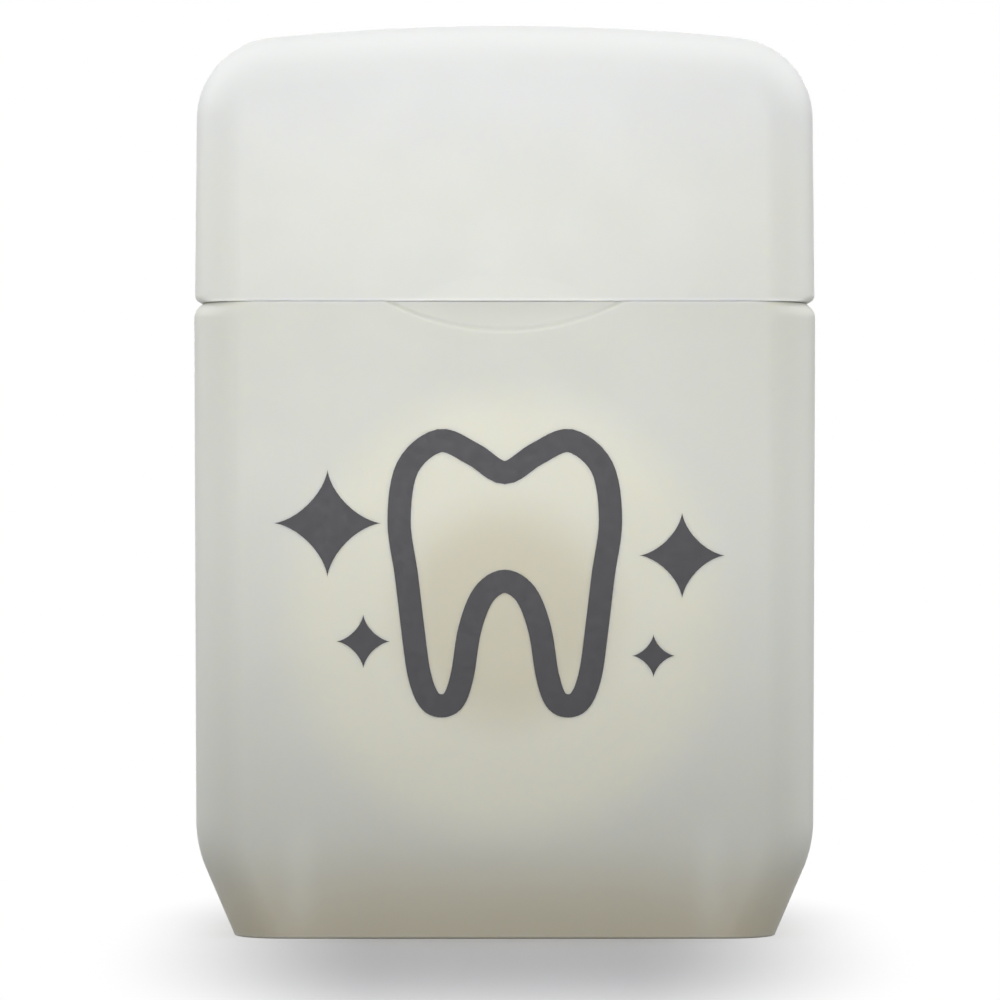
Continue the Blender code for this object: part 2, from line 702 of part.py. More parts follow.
def frame_additions():
    """Everything that stands on the deck or hangs from it."""
    rise = DECK_TOP - WELD_DEPTH
    yield "platform", platform_block(0, rise, PLATFORM_TOP)
    yield "back_plate", facing_front(plate_outline(), PLATE_FRONT, PLATE_BACK)
    for side in (1, -1):
        near, far = sorted((side * RAIL_INSIDE, side * RAIL_OUTSIDE))
        yield "rail", facing_side(rail_outline(), near, far)
        middle = side * (RAIL_OUTSIDE - STANDOFF_INSET)
        low = (middle - STANDOFF_THICKNESS / 2, SEAT_GAP * 2 - CAVITY_HALF_DEPTH, FRAME_FOOT)
        high = (middle + STANDOFF_THICKNESS / 2, PLATE_FRONT + WELD_DEPTH, FRAME_FOOT + STANDOFF_HEIGHT)
        yield "stand_off", block(low, high)
        yield "lug", facing_front(lug_outline(side, 0), -LUG_LENGTH / 2, LUG_LENGTH / 2)
    front = -NECK_HALF_DEPTH
    middle = LID_BOTTOM + BEAD_HEIGHT
    bead = [
        (front + WELD_DEPTH, middle - BEAD_HALF_HEIGHT),
        (front, middle - BEAD_HALF_HEIGHT),
        (front - BEAD_REACH, middle),
        (front, middle + BEAD_HALF_HEIGHT),
        (front + WELD_DEPTH, middle + BEAD_HALF_HEIGHT),
    ]
    yield "snap_bead", facing_side(bead, -BEAD_LENGTH / 2, BEAD_LENGTH / 2)


def platform_block(inset, low, high):
    """The cutter's platform, or with an inset the hollow under it."""
    outline = rounded_rectangle(PLATFORM_LENGTH / 2 - inset, PLATFORM_WIDTH / 2 - inset, PLATFORM_RADIUS)
    bm = standing(outline, low, high)
    bmesh.ops.translate(bm, vec=(PLATFORM_MIDDLE, 0, 0), verts=bm.verts)
    return bm


def make_frame(material):
    outline = rounded_rectangle(DECK_HALF_WIDTH, DECK_HALF_DEPTH, DECK_RADIUS)
    frame = mesh_object("snap_in_frame", standing(outline, DECK_BOTTOM, DECK_TOP), material)
    low = DECK_TOP - WELD_DEPTH
    high = DECK_TOP + NECK_HEIGHT
    collar = mesh_object("neck", neck(NECK_HALF_WIDTH, NECK_HALF_DEPTH, low, high))
    inner_width = NECK_HALF_WIDTH - NECK_THICKNESS
    inner_depth = NECK_HALF_DEPTH - NECK_THICKNESS
    well = mesh_object("neck_well", neck(inner_width, inner_depth, low - OVERRUN, high + OVERRUN))
    cut(collar, well)
    add(frame, collar)
    for name, bm in frame_additions():
        add(frame, mesh_object(name, bm))
    hollow_top = PLATFORM_TOP - PLATFORM_WALL
    hollow = platform_block(PLATFORM_WALL, DECK_BOTTOM - OVERRUN, hollow_top)
    cut(frame, mesh_object("platform_hollow", hollow))
    slot = LEG_WIDTH / 2 + SEAT_GAP
    for inner, outer in cutter_leg_places():
        low = (inner - SEAT_GAP, -slot, hollow_top - OVERRUN)
        high = (outer + SEAT_GAP, slot, PLATFORM_TOP + OVERRUN)
        cut(frame, mesh_object("leg_slot", block(low, high)))
    hole = (OUTLET_RADIUS + OUTLET_BORE) / 2
    cut(frame, mesh_object("outlet_hole", at_outlet(disc(hole, DECK_BOTTOM - OVERRUN, DECK_TOP + OVERRUN))))
    add(frame, mesh_object("outlet", at_outlet(turned(outlet_body(), LOOP_STEPS))))
    axle = mesh_object("axle", about_spool_axis(turned(axle_profile())))
    reach = AXLE_RADIUS + BARB_REACH + OVERRUN
    for across in ((AXLE_SLOT / 2, reach), (reach, AXLE_SLOT / 2)):
        low = (-across[0], AXLE_TIP - OVERRUN, AXLE_HEIGHT - across[1])
        high = (across[0], AXLE_TIP + AXLE_SLOT_DEPTH, AXLE_HEIGHT + across[1])
        cut(axle, mesh_object("finger_slot", block(low, high)))
    add(frame, axle)
    return frame


def spool_profile():
    """Half section of the spool, heights running from the front flange to the back one."""
    return [
        (SPOOL_BORE, SPOOL_FRONT),
        (FLANGE_RADIUS, SPOOL_FRONT),
        (FLANGE_RADIUS, WINDING_FRONT),
        (CORE_RADIUS, WINDING_FRONT),
        (CORE_RADIUS, WINDING_BACK),
        (FLANGE_RADIUS, WINDING_BACK),
        (FLANGE_RADIUS, SPOOL_BACK),
        (SPOOL_BORE, SPOOL_BACK),
    ]


def make_spool(material):
    spool = mesh_object("floss_spool", about_spool_axis(turned(spool_profile())), material)
    edge = AXLE_HEIGHT + FLANGE_RADIUS
    low = (-NOTCH_WIDTH / 2, SPOOL_FRONT - OVERRUN, edge - NOTCH_DEPTH)
    high = (NOTCH_WIDTH / 2, WINDING_FRONT + SEAT_GAP, edge + OVERRUN)
    notch = mesh_object("start_notch", block(low, high))
    cut(spool, notch)
    return spool, notch


def make_winding(material):
    """The wound floss under the outer turns, slightly crowned."""
    front = WINDING_FRONT + SEAT_GAP
    back = WINDING_BACK - SEAT_GAP
    inner = CORE_RADIUS + SEAT_GAP
    edge = WINDING_RADIUS - WINDING_CROWN
    middle = (front + back) / 2
    profile = [(inner, front), (edge, front), (WINDING_RADIUS, middle), (edge, back), (inner, back)]
    return mesh_object("floss_winding", about_spool_axis(turned(profile)), material)


def least_gap(points, diameter, apart):
    """Least clear distance between stretches of a tube that are at least so many points apart."""
    places = np.array(points)
    least = math.inf
    for i in range(len(places) - apart):
        distances = np.linalg.norm(places[i + apart :] - places[i], axis=1)
        least = min(least, float(distances.min()))
    return least - diameter


def tube(name, points, resolution, material):
    """A round tube along points, with closed ends."""
    curve = bpy.data.curves.new(name, "CURVE")
    curve.dimensions = "3D"
    curve.bevel_depth = FLOSS_DIAMETER / 2
    curve.bevel_resolution = resolution
    curve.use_fill_caps = True
    spline = curve.splines.new("POLY")
    spline.points.add(len(points) - 1)
    for target, point in zip(spline.points, points):
        target.co = (*point, 1)
    curve.materials.append(material)
    made = bpy.data.objects.new(name, curve)
    bpy.context.scene.collection.objects.link(made)
    return made


def make_outer_turns(material):
    """The last layer of floss, one unbroken helix over the plain winding."""
    radius = WINDING_RADIUS + SEAT_GAP / 2 + FLOSS_DIAMETER / 2
    margin = SEAT_GAP + FLOSS_DIAMETER / 2
    front = WINDING_FRONT + margin
    back = WINDING_BACK - margin
    count = OUTER_TURNS * LOOP_STEPS
    points = []
    for i in range(count + 1):
        angle = math.tau * i / LOOP_STEPS
        y = front + (back - front) * i / count
        points.append((radius * math.cos(angle), y, AXLE_HEIGHT + radius * math.sin(angle)))
    gap = least_gap(points, FLOSS_DIAMETER, LOOP_STEPS // 2)
    print(f"floss_outer_turns: least gap between turns {gap / MM:.2f} mm")
    return tube("floss_outer_turns", points, 1, material)


def smooth_through(route, spacing):
    """Evenly spaced points on a smooth curve through a route."""
    knots = [Vector(p) for p in route]
    ends = [2 * knots[0] - knots[1], *knots, 2 * knots[-1] - knots[-2]]
    fine = []
    for before, a, b, after in zip(ends, ends[1:], ends[2:], ends[3:]):
        for t in np.linspace(0, 1, LOOP_STEPS, endpoint=False):
            pull = (b - before) * (t - 2 * t**2 + t**3) / 2 + (after - a) * (t**3 - t**2) / 2
            fine.append(a * (1 - 3 * t**2 + 2 * t**3) + b * (3 * t**2 - 2 * t**3) + pull)
    fine.append(knots[-1])
    walked = np.cumsum([0] + [(q - p).length for p, q in zip(fine, fine[1:])])
    stations = np.linspace(0, walked[-1], round(walked[-1] / spacing) + 1)
    axes = [np.interp(stations, walked, [p[k] for p in fine]) for k in range(3)]
    return list(zip(*axes))


def make_strand(material):
    points = smooth_through(STRAND_ROUTE, STRAND_SPACING)
    length = sum((Vector(b) - Vector(a)).length for a, b in zip(points, points[1:]))
    print(f"floss_strand: {length / MM:.1f} mm from the spool to its free end")
    return tube("floss_strand", points, 2, material)


def tongue_outline(root, clearance):
    """The tongue in plan: it points left, towards the outlet."""
    tip = root - TONGUE_LENGTH - clearance
    wide = TONGUE_WIDTH / 2 + clearance
    narrow = TONGUE_POINT / 2 + clearance
    return [(root, -wide), (root, wide), (tip, narrow), (tip, -narrow)]


def make_cutter(material):
    """A stamped steel plate with two legs bent down and a sharp tongue raised out of its middle."""
    half = CUTTER_LENGTH / 2
    low = (PLATFORM_MIDDLE - half, -CUTTER_WIDTH / 2, CUTTER_BOTTOM)
    high = (PLATFORM_MIDDLE + half, CUTTER_WIDTH / 2, CUTTER_TOP)
    cutter = mesh_object("floss_cutter", block(low, high), material)
    for inner, outer in cutter_leg_places():
        low = (inner, -LEG_WIDTH / 2, CUTTER_BOTTOM - LEG_LENGTH)
        high = (outer, LEG_WIDTH / 2, CUTTER_BOTTOM + CUTTER_THICKNESS / 2)
        add(cutter, mesh_object("cutter_leg", block(low, high)))
    root = PLATFORM_MIDDLE + half - TONGUE_END
    window = tongue_outline(root, WINDOW_CLEARANCE)
    cut(cutter, mesh_object("window", standing(window, CUTTER_BOTTOM - OVERRUN, CUTTER_TOP + OVERRUN)))
    blade = standing(tongue_outline(root, 0), CUTTER_BOTTOM, CUTTER_TOP)
    for vert in blade.verts:
        vert.co.x -= root
        vert.co.z -= CUTTER_BOTTOM
    bmesh.ops.rotate(blade, cent=(0, 0, 0), matrix=Matrix.Rotation(TONGUE_ANGLE, 3, "Y"), verts=blade.verts)
    sunk = WELD_DEPTH / 2
    bmesh.ops.translate(blade, vec=(root + sunk, 0, CUTTER_BOTTOM), verts=blade.verts)
    add(cutter, mesh_object("tongue", blade))
    return cutter


def main():
    clear_scene()
    natural = plastic("natural_polypropylene", (0.80, 0.81, 0.77), 0.35)
    white = plastic("white_polypropylene", (0.86, 0.86, 0.83), 0.4)
    steel = plastic("cutter_steel", (0.62, 0.62, 0.60), 0.3, 1.0)
    floss = plastic("waxed_floss", (0.84, 0.80, 0.66), 0.6)

    lid_pivot = pivot_at("lid_pivot", (0, HINGE_Y, HINGE_Z))
    spool_pivot = pivot_at("spool_pivot", (0, (SPOOL_FRONT + SPOOL_BACK) / 2, AXLE_HEIGHT))

    make_case(natural)
    lid, lid_tools = make_lid(natural)
    hang_from(lid_pivot, lid, *lid_tools)
    side_by_side(lambda side: strap(side, natural))
    make_frame(white)
    make_cutter(steel)
    spool, notch = make_spool(white)
    winding = make_winding(floss)
    turns = make_outer_turns(floss)
    hang_from(spool_pivot, spool, notch, winding, turns)
    make_strand(floss)


main()
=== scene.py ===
# %% [markdown]
# # A flip-top floss dispenser, from its frame to its finish
#
# This notebook dresses a packed mechanical model of a pocket floss dispenser. The model fixes where every
# piece is and how it moves. Here each piece gets the surface that an eye or a camera sees: milky moulded
# plastic, waxed thread, stamped steel.
#
# The first cell loads the frame and keeps its box. Everything made later stays inside that box.

import math

import bmesh
import bpy
import numpy as np
from mathutils import Matrix, Vector


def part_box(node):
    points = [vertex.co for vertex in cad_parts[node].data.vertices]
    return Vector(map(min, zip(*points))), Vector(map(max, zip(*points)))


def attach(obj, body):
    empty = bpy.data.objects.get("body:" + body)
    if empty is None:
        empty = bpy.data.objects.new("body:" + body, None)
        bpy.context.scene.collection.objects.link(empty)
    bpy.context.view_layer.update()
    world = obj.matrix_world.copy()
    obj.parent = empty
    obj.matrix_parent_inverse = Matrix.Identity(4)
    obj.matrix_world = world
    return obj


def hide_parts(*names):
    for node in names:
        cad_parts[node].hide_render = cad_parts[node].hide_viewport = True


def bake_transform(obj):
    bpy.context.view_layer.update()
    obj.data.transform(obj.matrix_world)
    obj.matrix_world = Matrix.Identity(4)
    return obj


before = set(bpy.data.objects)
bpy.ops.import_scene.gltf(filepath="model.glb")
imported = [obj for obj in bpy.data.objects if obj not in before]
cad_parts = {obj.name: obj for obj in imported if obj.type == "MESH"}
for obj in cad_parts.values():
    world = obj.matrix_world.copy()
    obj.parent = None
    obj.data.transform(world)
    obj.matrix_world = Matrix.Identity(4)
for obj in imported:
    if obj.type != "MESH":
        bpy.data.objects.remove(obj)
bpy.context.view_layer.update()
MM = 0.001
print("nodes:", sorted(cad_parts))

# %% [markdown]
# ## The camera
#
# The dispenser was photographed square from the front, with a long lens: its base and its lid's edge are
# straight lines, and neither side shows. So the camera stands level, in front of it, and far enough away
# that the sides hardly converge. Three pixel places in the photograph set its distance and its height: the
# case's left and right sides, and the line that the base stands on. The sides are seen where the front's
# upright corners end, a little behind the front wall, and that is where the scale holds.

# %% Camera
PHOTO_SIZE = 1000
LEFT_SIDE_PIXEL = 194
RIGHT_SIDE_PIXEL = 815.5
BASE_PIXEL = 935
LENS = 200
SENSOR = 36
CORNER_DEPTH = 2.7 * MM
CLIP_SHARE = 0.01  # of the camera's distance


def placed(name, data):
    """A new object of the scene that shows the data."""
    made = bpy.data.objects.new(name, data)
    bpy.context.scene.collection.objects.link(made)
    return made


case_low, case_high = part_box("case_body")
lid_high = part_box("flip_lid")[1]
case_width = case_high.x - case_low.x
pixel = case_width / (RIGHT_SIDE_PIXEL - LEFT_SIDE_PIXEL)
middle_pixel = (LEFT_SIDE_PIXEL + RIGHT_SIDE_PIXEL) / 2
camera_x = (PHOTO_SIZE / 2 - middle_pixel) * pixel
camera_z = (BASE_PIXEL - PHOTO_SIZE / 2) * pixel
camera_distance = PHOTO_SIZE * pixel * LENS / SENSOR

camera = placed("camera", bpy.data.cameras.new("camera"))
camera.data.lens = LENS
camera.data.sensor_width = SENSOR
camera.data.clip_start = camera_distance * CLIP_SHARE
camera.location = (camera_x, case_low.y + CORNER_DEPTH - camera_distance, camera_z)
camera.rotation_euler = (math.radians(90), 0, 0)
bpy.context.scene.camera = camera
bpy.context.scene.view_settings.view_transform = "Standard"
print(f"one pixel is {pixel / MM:.4f} mm, the camera stands {camera_distance / MM:.0f} mm away")

# %% [markdown]
# ## Drawing a material as arithmetic
#
# A procedural material is a graph: textures give numbers, and the numbers are added, scaled and mixed.
# Graphs built link by link are hard to read, so a small class wraps a socket and lets Python's own
# operators add the Math nodes: `1 - ring * 0.3` becomes two nodes. Every other node comes from one method,
# `node`. The world and the table are graphs too, so the class stands before them.

# %% Shader arithmetic
def math_operator(operation, reflected=False):
    """An operator that adds one Math node. A reflected one has the Value on its right."""

    def apply(value, other=0.0):
        first, second = (other, value) if reflected else (value, other)
        return value.graph.node("ShaderNodeMath", {"operation": operation}, {0: first, 1: second})

    return apply


class Value:
    """What a node gives. Arithmetic on it adds Math nodes to its graph."""

    def __init__(self, graph, socket):
        self.graph = graph
        self.socket = socket

    __add__ = __radd__ = math_operator("ADD")
    __sub__ = math_operator("SUBTRACT")
    __rsub__ = math_operator("SUBTRACT", reflected=True)
    __mul__ = __rmul__ = math_operator("MULTIPLY")
    __truediv__ = math_operator("DIVIDE")
    __pow__ = math_operator("POWER")
    __abs__ = math_operator("ABSOLUTE")
    larger = math_operator("MAXIMUM")


class Graph:
    """The nodes of a material or of the world."""

    def __init__(self, tree):
        self.tree = tree

    def fill(self, node, sockets):
        """Sets each socket to a number or a colour, or links a Value to it."""
        for key, given in sockets.items():
            if isinstance(given, Value):
                self.tree.links.new(given.socket, node.inputs[key])
            else:
                node.inputs[key].default_value = given

    def node(self, kind, settings=None, sockets=None, output=0):
        made = self.tree.nodes.new(kind)
        for key, given in (settings or {}).items():
            setattr(made, key, given)
        self.fill(made, sockets or {})
        return Value(self, made.outputs[output])

    def place(self, stretch=(1, 1, 1)):
        """The place on the piece in millimetres, with each axis stretched."""
        spot = self.node("ShaderNodeTexCoord", output="Object")
        scale = [1 / MM * share for share in stretch]
        return self.node("ShaderNodeVectorMath", {"operation": "MULTIPLY"}, {0: spot, 1: scale})

    def along(self, axis):
        """Millimetres along one axis: 0, 1 or 2."""
        return self.node("ShaderNodeSeparateXYZ", sockets={0: self.place()}, output=axis)

    def smooth(self, value, zero_at, one_at, kind="SMOOTHSTEP"):
        """Goes from 0 to 1 as a value passes from one number to another, up or down."""
        sockets = {"Value": value, "From Min": zero_at, "From Max": one_at}
        return self.node("ShaderNodeMapRange", {"interpolation_type": kind}, sockets)

    def mixed(self, share, first, second):
        """A shader that goes from the first to the second as share goes from 0 to 1."""
        return self.node("ShaderNodeMixShader", sockets={0: share, 1: first, 2: second})


class Finish(Graph):
    """A material being drawn, with one Principled shader."""

    def __init__(self, name):
        self.material = bpy.data.materials.new(name)
        self.material.use_nodes = True
        super().__init__(self.material.node_tree)
        self.shader = self.tree.nodes["Principled BSDF"]

    def surface(self, base, roughness, normal, more=None):
        """Sets the shader's sockets and gives the finished material."""
        sockets = {"Base Color": base, "Roughness": roughness, "Normal": normal, **(more or {})}
        self.fill(self.shader, sockets)
        return self.material

    def noise(self, per_mm, detail=2.0, stretch=(1, 1, 1), roughness=0.5):
        sockets = {"Vector": self.place(stretch), "Scale": per_mm, "Detail": detail, "Roughness": roughness}
        return self.node("ShaderNodeTexNoise", sockets=sockets)

    def blend(self, share, first, second):
        """A colour that goes from the first to the second as share goes from 0 to 1."""
        sockets = {"Factor": share, 6: first, 7: second}
        return self.node("ShaderNodeMix", {"data_type": "RGBA"}, sockets, output=2)

    def bumps(self, height, depth):
        """A normal from a height that runs from 0 to 1 and is so many metres deep."""
        return self.node("ShaderNodeBump", sockets={"Height": height, "Distance": depth})


def scattering(radius, scale, weight=1.0, ior=1.49):
    """Sockets of plastic that light goes a little way into: each colour by its share of scale."""
    return {"IOR": ior, "Subsurface Weight": weight, "Subsurface Radius": radius, "Subsurface Scale": scale}


def colour(red, green, blue):
    """A plain colour from its 0 to 255 values as a picture shows them."""
    linear = []
    for level in (red, green, blue):
        share = level / 255
        linear.append(share / 12.92 if share <= 0.04045 else ((share + 0.055) / 1.055) ** 2.4)
    return (*linear, 1)


print("shader arithmetic is ready")

# %% [markdown]
# ## The table and the light
#
# The photograph has a pure white ground with one soft shadow that falls forward from the base, and the
# object itself is lit from above and in front: the lid is almost white and the body darkens steadily
# towards its foot. One lamp can't do both, so light linking gives each its own. A wide panel overhead
# lights the table alone. The key panel has a narrow spread and points at the lid, so that its light fades
# on the way down the body. Panels at the sides, overhead and behind fill the rest of the object, which else
# would be grey from any other side.
#
# To the camera and to reflections the table is white paper. For all other light it is darker, or it would
# light the foot from below. Near the object the camera sees paper lit by the table's panel, with the object's
# real shadow on it, and the paper is greyer than white all over that zone. A mask fades the zone into a plain
# white ground further out, so the soft spread of the shadow is partly a painted shadow.

# %% Stage and light
TABLE_REACH = 3.0
TABLE_SHADE = 0.4
SKY_STRENGTH = 0.26
WHITE = (1, 1, 1, 1)
PAPER = (0.965, 0.965, 1, 1)  # a little blue against the warm light that the part sends down
SEEN_RAYS = ("Is Camera Ray", "Is Glossy Ray", "Is Transmission Ray")
# Shape of the zone of lit paper with the real shadow; its fading edge is a painted shadow.
SHADOW_ROUNDNESS = 1.5  # 2 would give its corners a round edge, 1 a straight one
# Axis, direction, where the shadow starts to fade and where it has faded in mm, and how late most of the
# fade comes.
SHADOW_EDGES = [(0, -1, 6.5, 22.6, 1.0), (0, 1, 6.5, 22.6, 1.0), (1, -1, 6.0, 68, 1.8), (1, 1, 8.4, 48, 1.0)]


def seen_directly(graph):
    """1 for what the camera, a reflection or clear plastic looks at, and otherwise 0."""
    seen, *others = [graph.node("ShaderNodeLightPath", output=name) for name in SEEN_RAYS]
    for ray in others:
        seen = seen.larger(ray)
    return seen


def make_sky():
    world = bpy.data.worlds.new("white_surround")
    world.use_nodes = True
    bpy.context.scene.world = world
    sky = Graph(world.node_tree)
    soft, white = [
        sky.node("ShaderNodeBackground", sockets={"Color": WHITE, "Strength": strength})
        for strength in (SKY_STRENGTH, 1)
    ]
    sky.fill(sky.tree.nodes["World Output"], {"Surface": sky.mixed(seen_directly(sky), soft, white)})


def shadow_mask(ground):
    """1 near the object, where lit paper shows the real shadow, fading to 0 at the painted shadow's edges."""
    total = 0
    for axis, way, fades_from, faded_at, lateness in SHADOW_EDGES:
        beyond = (ground.along(axis) * way - fades_from) / (faded_at - fades_from)
        total = total + beyond.larger(0.0) ** (SHADOW_ROUNDNESS * lateness)
    return ground.smooth(total ** (1 / SHADOW_ROUNDNESS), 1, 0)


def make_table():
    ground = Finish("white_table")
    glow = ground.node("ShaderNodeEmission", sockets={"Color": WHITE})
    paper = ground.node("ShaderNodeBsdfDiffuse", sockets={"Color": PAPER})
    dark = ground.node("ShaderNodeBsdfDiffuse", sockets={"Color": (TABLE_SHADE, TABLE_SHADE, TABLE_SHADE, 1)})
    shown = ground.mixed(seen_directly(ground), dark, ground.mixed(shadow_mask(ground), glow, paper))
    ground.fill(ground.tree.nodes["Material Output"], {"Surface": shown})
    mesh = bpy.data.meshes.new("table")
    signs = [(-1, -1), (1, -1), (1, 1), (-1, 1)]
    corners = [(x * TABLE_REACH, y * TABLE_REACH, case_low.z) for x, y in signs]
    mesh.from_pydata(corners, [], [(0, 1, 2, 3)])
    mesh.materials.append(ground.material)
    table = placed("table", mesh)
    return table


def soft_panel(name, size, spread, power, place, target, lit):
    """A rectangular area lamp. lit says whether it lights the TABLE alone or all but the table."""
    lamp = bpy.data.lights.new(name, "AREA")
    lamp.shape = "RECTANGLE"
    lamp.size, lamp.size_y = size
    lamp.spread = math.radians(spread)
    lamp.energy = power
    panel = placed(name, lamp)
    panel.location = place
    panel.rotation_euler = (Vector(target) - Vector(place)).to_track_quat("-Z", "Y").to_euler()
    panel.visible_camera = False
    receivers = bpy.data.collections.new(name + "_receivers")
    receivers.objects.link(table)
    receivers.collection_objects[0].light_linking.link_state = "INCLUDE" if lit == "TABLE" else "EXCLUDE"
    panel.light_linking.receiver_collection = receivers


# name, width and height, spread in degrees, watts, place, what it looks at, what it lights
PANELS = [
    ("key_panel", (0.08, 0.06), 40, 0.0185, (-0.02, -0.205, 0.05), (-0.001, 0, 0.052), "OBJECT"),
    ("overhead_panel", (0.30, 0.30), 180, 0.25, (0, -0.01, 0.25), (0, 0, lid_high.z), "OBJECT"),
    ("left_panel", (0.10, 0.14), 180, 0.085, (-0.14, 0.035, 0.095), (0, 0, 0.035), "OBJECT"),
    ("right_panel", (0.10, 0.16), 180, 0.094, (0.14, 0.02, 0.09), (0, 0, 0.035), "OBJECT"),
    ("back_panel", (0.20, 0.14), 180, 0.16, (0, 0.22, 0.08), (0, 0, 0.03), "OBJECT"),
    ("table_panel", (0.50, 0.30), 180, 0.19, (0, -0.05, 0.3), (0, 0, 0), "TABLE"),
]

make_sky()
table = make_table()
for panel in PANELS:
    soft_panel(*panel)
print(f"table, sky and {len(PANELS)} panels")

# %% [markdown]
# ## Milky polypropylene
#
# The case and lid are moulded in natural polypropylene, which has no pigment. Light goes a little way into
# it, is scattered by the plastic's own crystals and comes out somewhere near. That is why its edges glow
# and its walls hint at what lies behind them. Paint on a hard surface could only copy the colour, so the
# shader scatters light inside the walls, with a mean path of about a quarter of the wall's thickness. Where
# two edges meet, light would escape into the crack between them, and the crack would look black. On the
# real part it doesn't, so the colour is painted lighter along the seam, as painted light, and along the base
# edge too.
#
# Over that come three faint things that real mouldings have: cloudy flow in the melt, a skin that is a
# little rougher in some places than in others, and the fine grain that the mould leaves.
#
# What lies behind the front wall shows through it, and that light and shade is painted into the case's
# colour.
# Over the pale wound floss it is painted lighter, and over the spool's hub darker and warmer. Towards the
# rim, lower down, below the spool and most at the foot it is painted darker, below the spool and at the foot
# warmer too, as painted shade. Two faint bright strips of painted light lie where the frame's stand-offs
# touch the wall, and the lid's top is painted a little cooler, as a painted reflection. The spool's own sizes
# set the rings.

# %% Natural polypropylene
spool_low, spool_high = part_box("floss_spool")
AXIS_Z = (spool_low.z + spool_high.z) / 2
FLANGE_RADIUS = (spool_high.x - spool_low.x) / 2
HUB_RADIUS = 5.8 * MM
GRAIN_DEPTH = 0.006 * MM
# Painted light that lifts the colour along the seam and the base edge.
PAINTED_EDGE_LIGHT = colour(252, 252, 249)
# The rest is in millimetres. A pair of heights says where a tone starts to show and where it is full.
SEAM_Z = case_high.z / MM
EDGE_GLOW_REACH = 0.25
SPOOL_BLUR = 2.0
# Heights of painted shade: the case is painted darker towards the rim, lower down and at the foot.
UPPER_BODY_SHADE = (22, 38)
LOWER_BODY_SHADE = (16, 0)
FOOT = (6, 0)
# Painted shade below the spool, near the base.
UNDER_SPOOL = (9, 0)
UNDER_SPOOL_REACH = 13.0
# Heights over which the lid's top is painted cooler, a painted reflection.
COOL_TOP_REFLECTION = (41, 48)
# Place and size of the painted light strips over the frame's stand-offs.
STAND_OFF_X = 11.45
STAND_OFF_Z = 3.6
STAND_OFF_REACH = 4.0
STAND_OFF_BLUR = 1.4


def in_front(finish):
    """1 on the front wall and 0 on the back wall, where the frame's back plate hides the spool."""
    return finish.smooth(finish.along(1), 0, -1)


# Mask of the painted light over the floss and the painted shade over the hub.
def over_spool(finish, radius):
    """1 on the front wall well inside a radius about the spool's axis, and 0 well outside it."""
    across = finish.along(0)
    rise = finish.along(2) - AXIS_Z / MM
    distance = (across * across + rise * rise) ** 0.5
    return finish.smooth(distance, radius / MM + SPOOL_BLUR, radius / MM - SPOOL_BLUR) * in_front(finish)


def by_height(finish, heights):
    """0 at the first of two heights, growing to 1 at the second."""
    return finish.smooth(finish.along(2), *heights)


# Mask of the painted light along the seam and the base edge.
def wall_edge(finish, height):
    """1 at a height on an upright wall, and 0 on level faces and away from it."""
    facing = finish.node("ShaderNodeTexCoord", output="Normal")
    level = abs(finish.node("ShaderNodeSeparateXYZ", sockets={0: facing}, output=2))
    return finish.smooth(abs(finish.along(2) - height), EDGE_GLOW_REACH, 0) * (1 - level)


# Mask of the painted shade below the spool.
def under_spool(finish):
    """1 at the base below the spool, where nothing behind the wall sends light back, and 0 away from it."""
    across = finish.smooth(abs(finish.along(0)), UNDER_SPOOL_REACH, UNDER_SPOOL_REACH / 2)
    return across * by_height(finish, UNDER_SPOOL)


# Mask of the painted light strips over the stand-offs.
def on_stand_off(finish):
    """1 where a stand-off of the frame touches the front wall, and 0 away from it."""
    across = abs(abs(finish.along(0)) - STAND_OFF_X)
    beyond = abs(finish.along(2) - STAND_OFF_Z)
    strip = finish.smooth(across, STAND_OFF_BLUR, 0)
    return strip * finish.smooth(beyond, STAND_OFF_REACH, STAND_OFF_REACH / 3) * in_front(finish)


def lid_painted_light(finish):
    """Mask, share and colour of each painted light that lies over the lid's cloudy tone."""
    return [
        # painted light along the seam
        (wall_edge(finish, SEAM_Z), 0.8, PAINTED_EDGE_LIGHT),
        # painted cool reflection on the lid's top
        (by_height(finish, COOL_TOP_REFLECTION), 0.6, colour(228, 230, 232)),
    ]


def case_painted_light_and_shade(finish):
    """The same for the case: painted light and shade, much of it for what shows through its wall from behind.
    """
    return [
        # painted light along the seam
        (wall_edge(finish, SEAM_Z), 0.8, PAINTED_EDGE_LIGHT),
        # painted shade, darker towards the rim, lower down and at the foot
        (by_height(finish, UPPER_BODY_SHADE), 0.6, colour(214, 215, 206)),
        (by_height(finish, LOWER_BODY_SHADE), 0.25, colour(212, 213, 206)),
        (by_height(finish, FOOT), 0.62, colour(208, 197, 168)),
        # painted light along the base edge
        (wall_edge(finish, 0), 0.5, PAINTED_EDGE_LIGHT),
        # painted shade below the spool
        (under_spool(finish), 0.4, colour(200, 194, 172)),
        # painted light over a stand-off
        (on_stand_off(finish), 0.26, colour(242, 243, 236)),
        # painted light over the floss
        (over_spool(finish, FLANGE_RADIUS), 0.85, colour(240, 239, 224)),
        # painted shade over the spool's hub
        (over_spool(finish, HUB_RADIUS), 0.75, colour(222, 216, 194)),
    ]


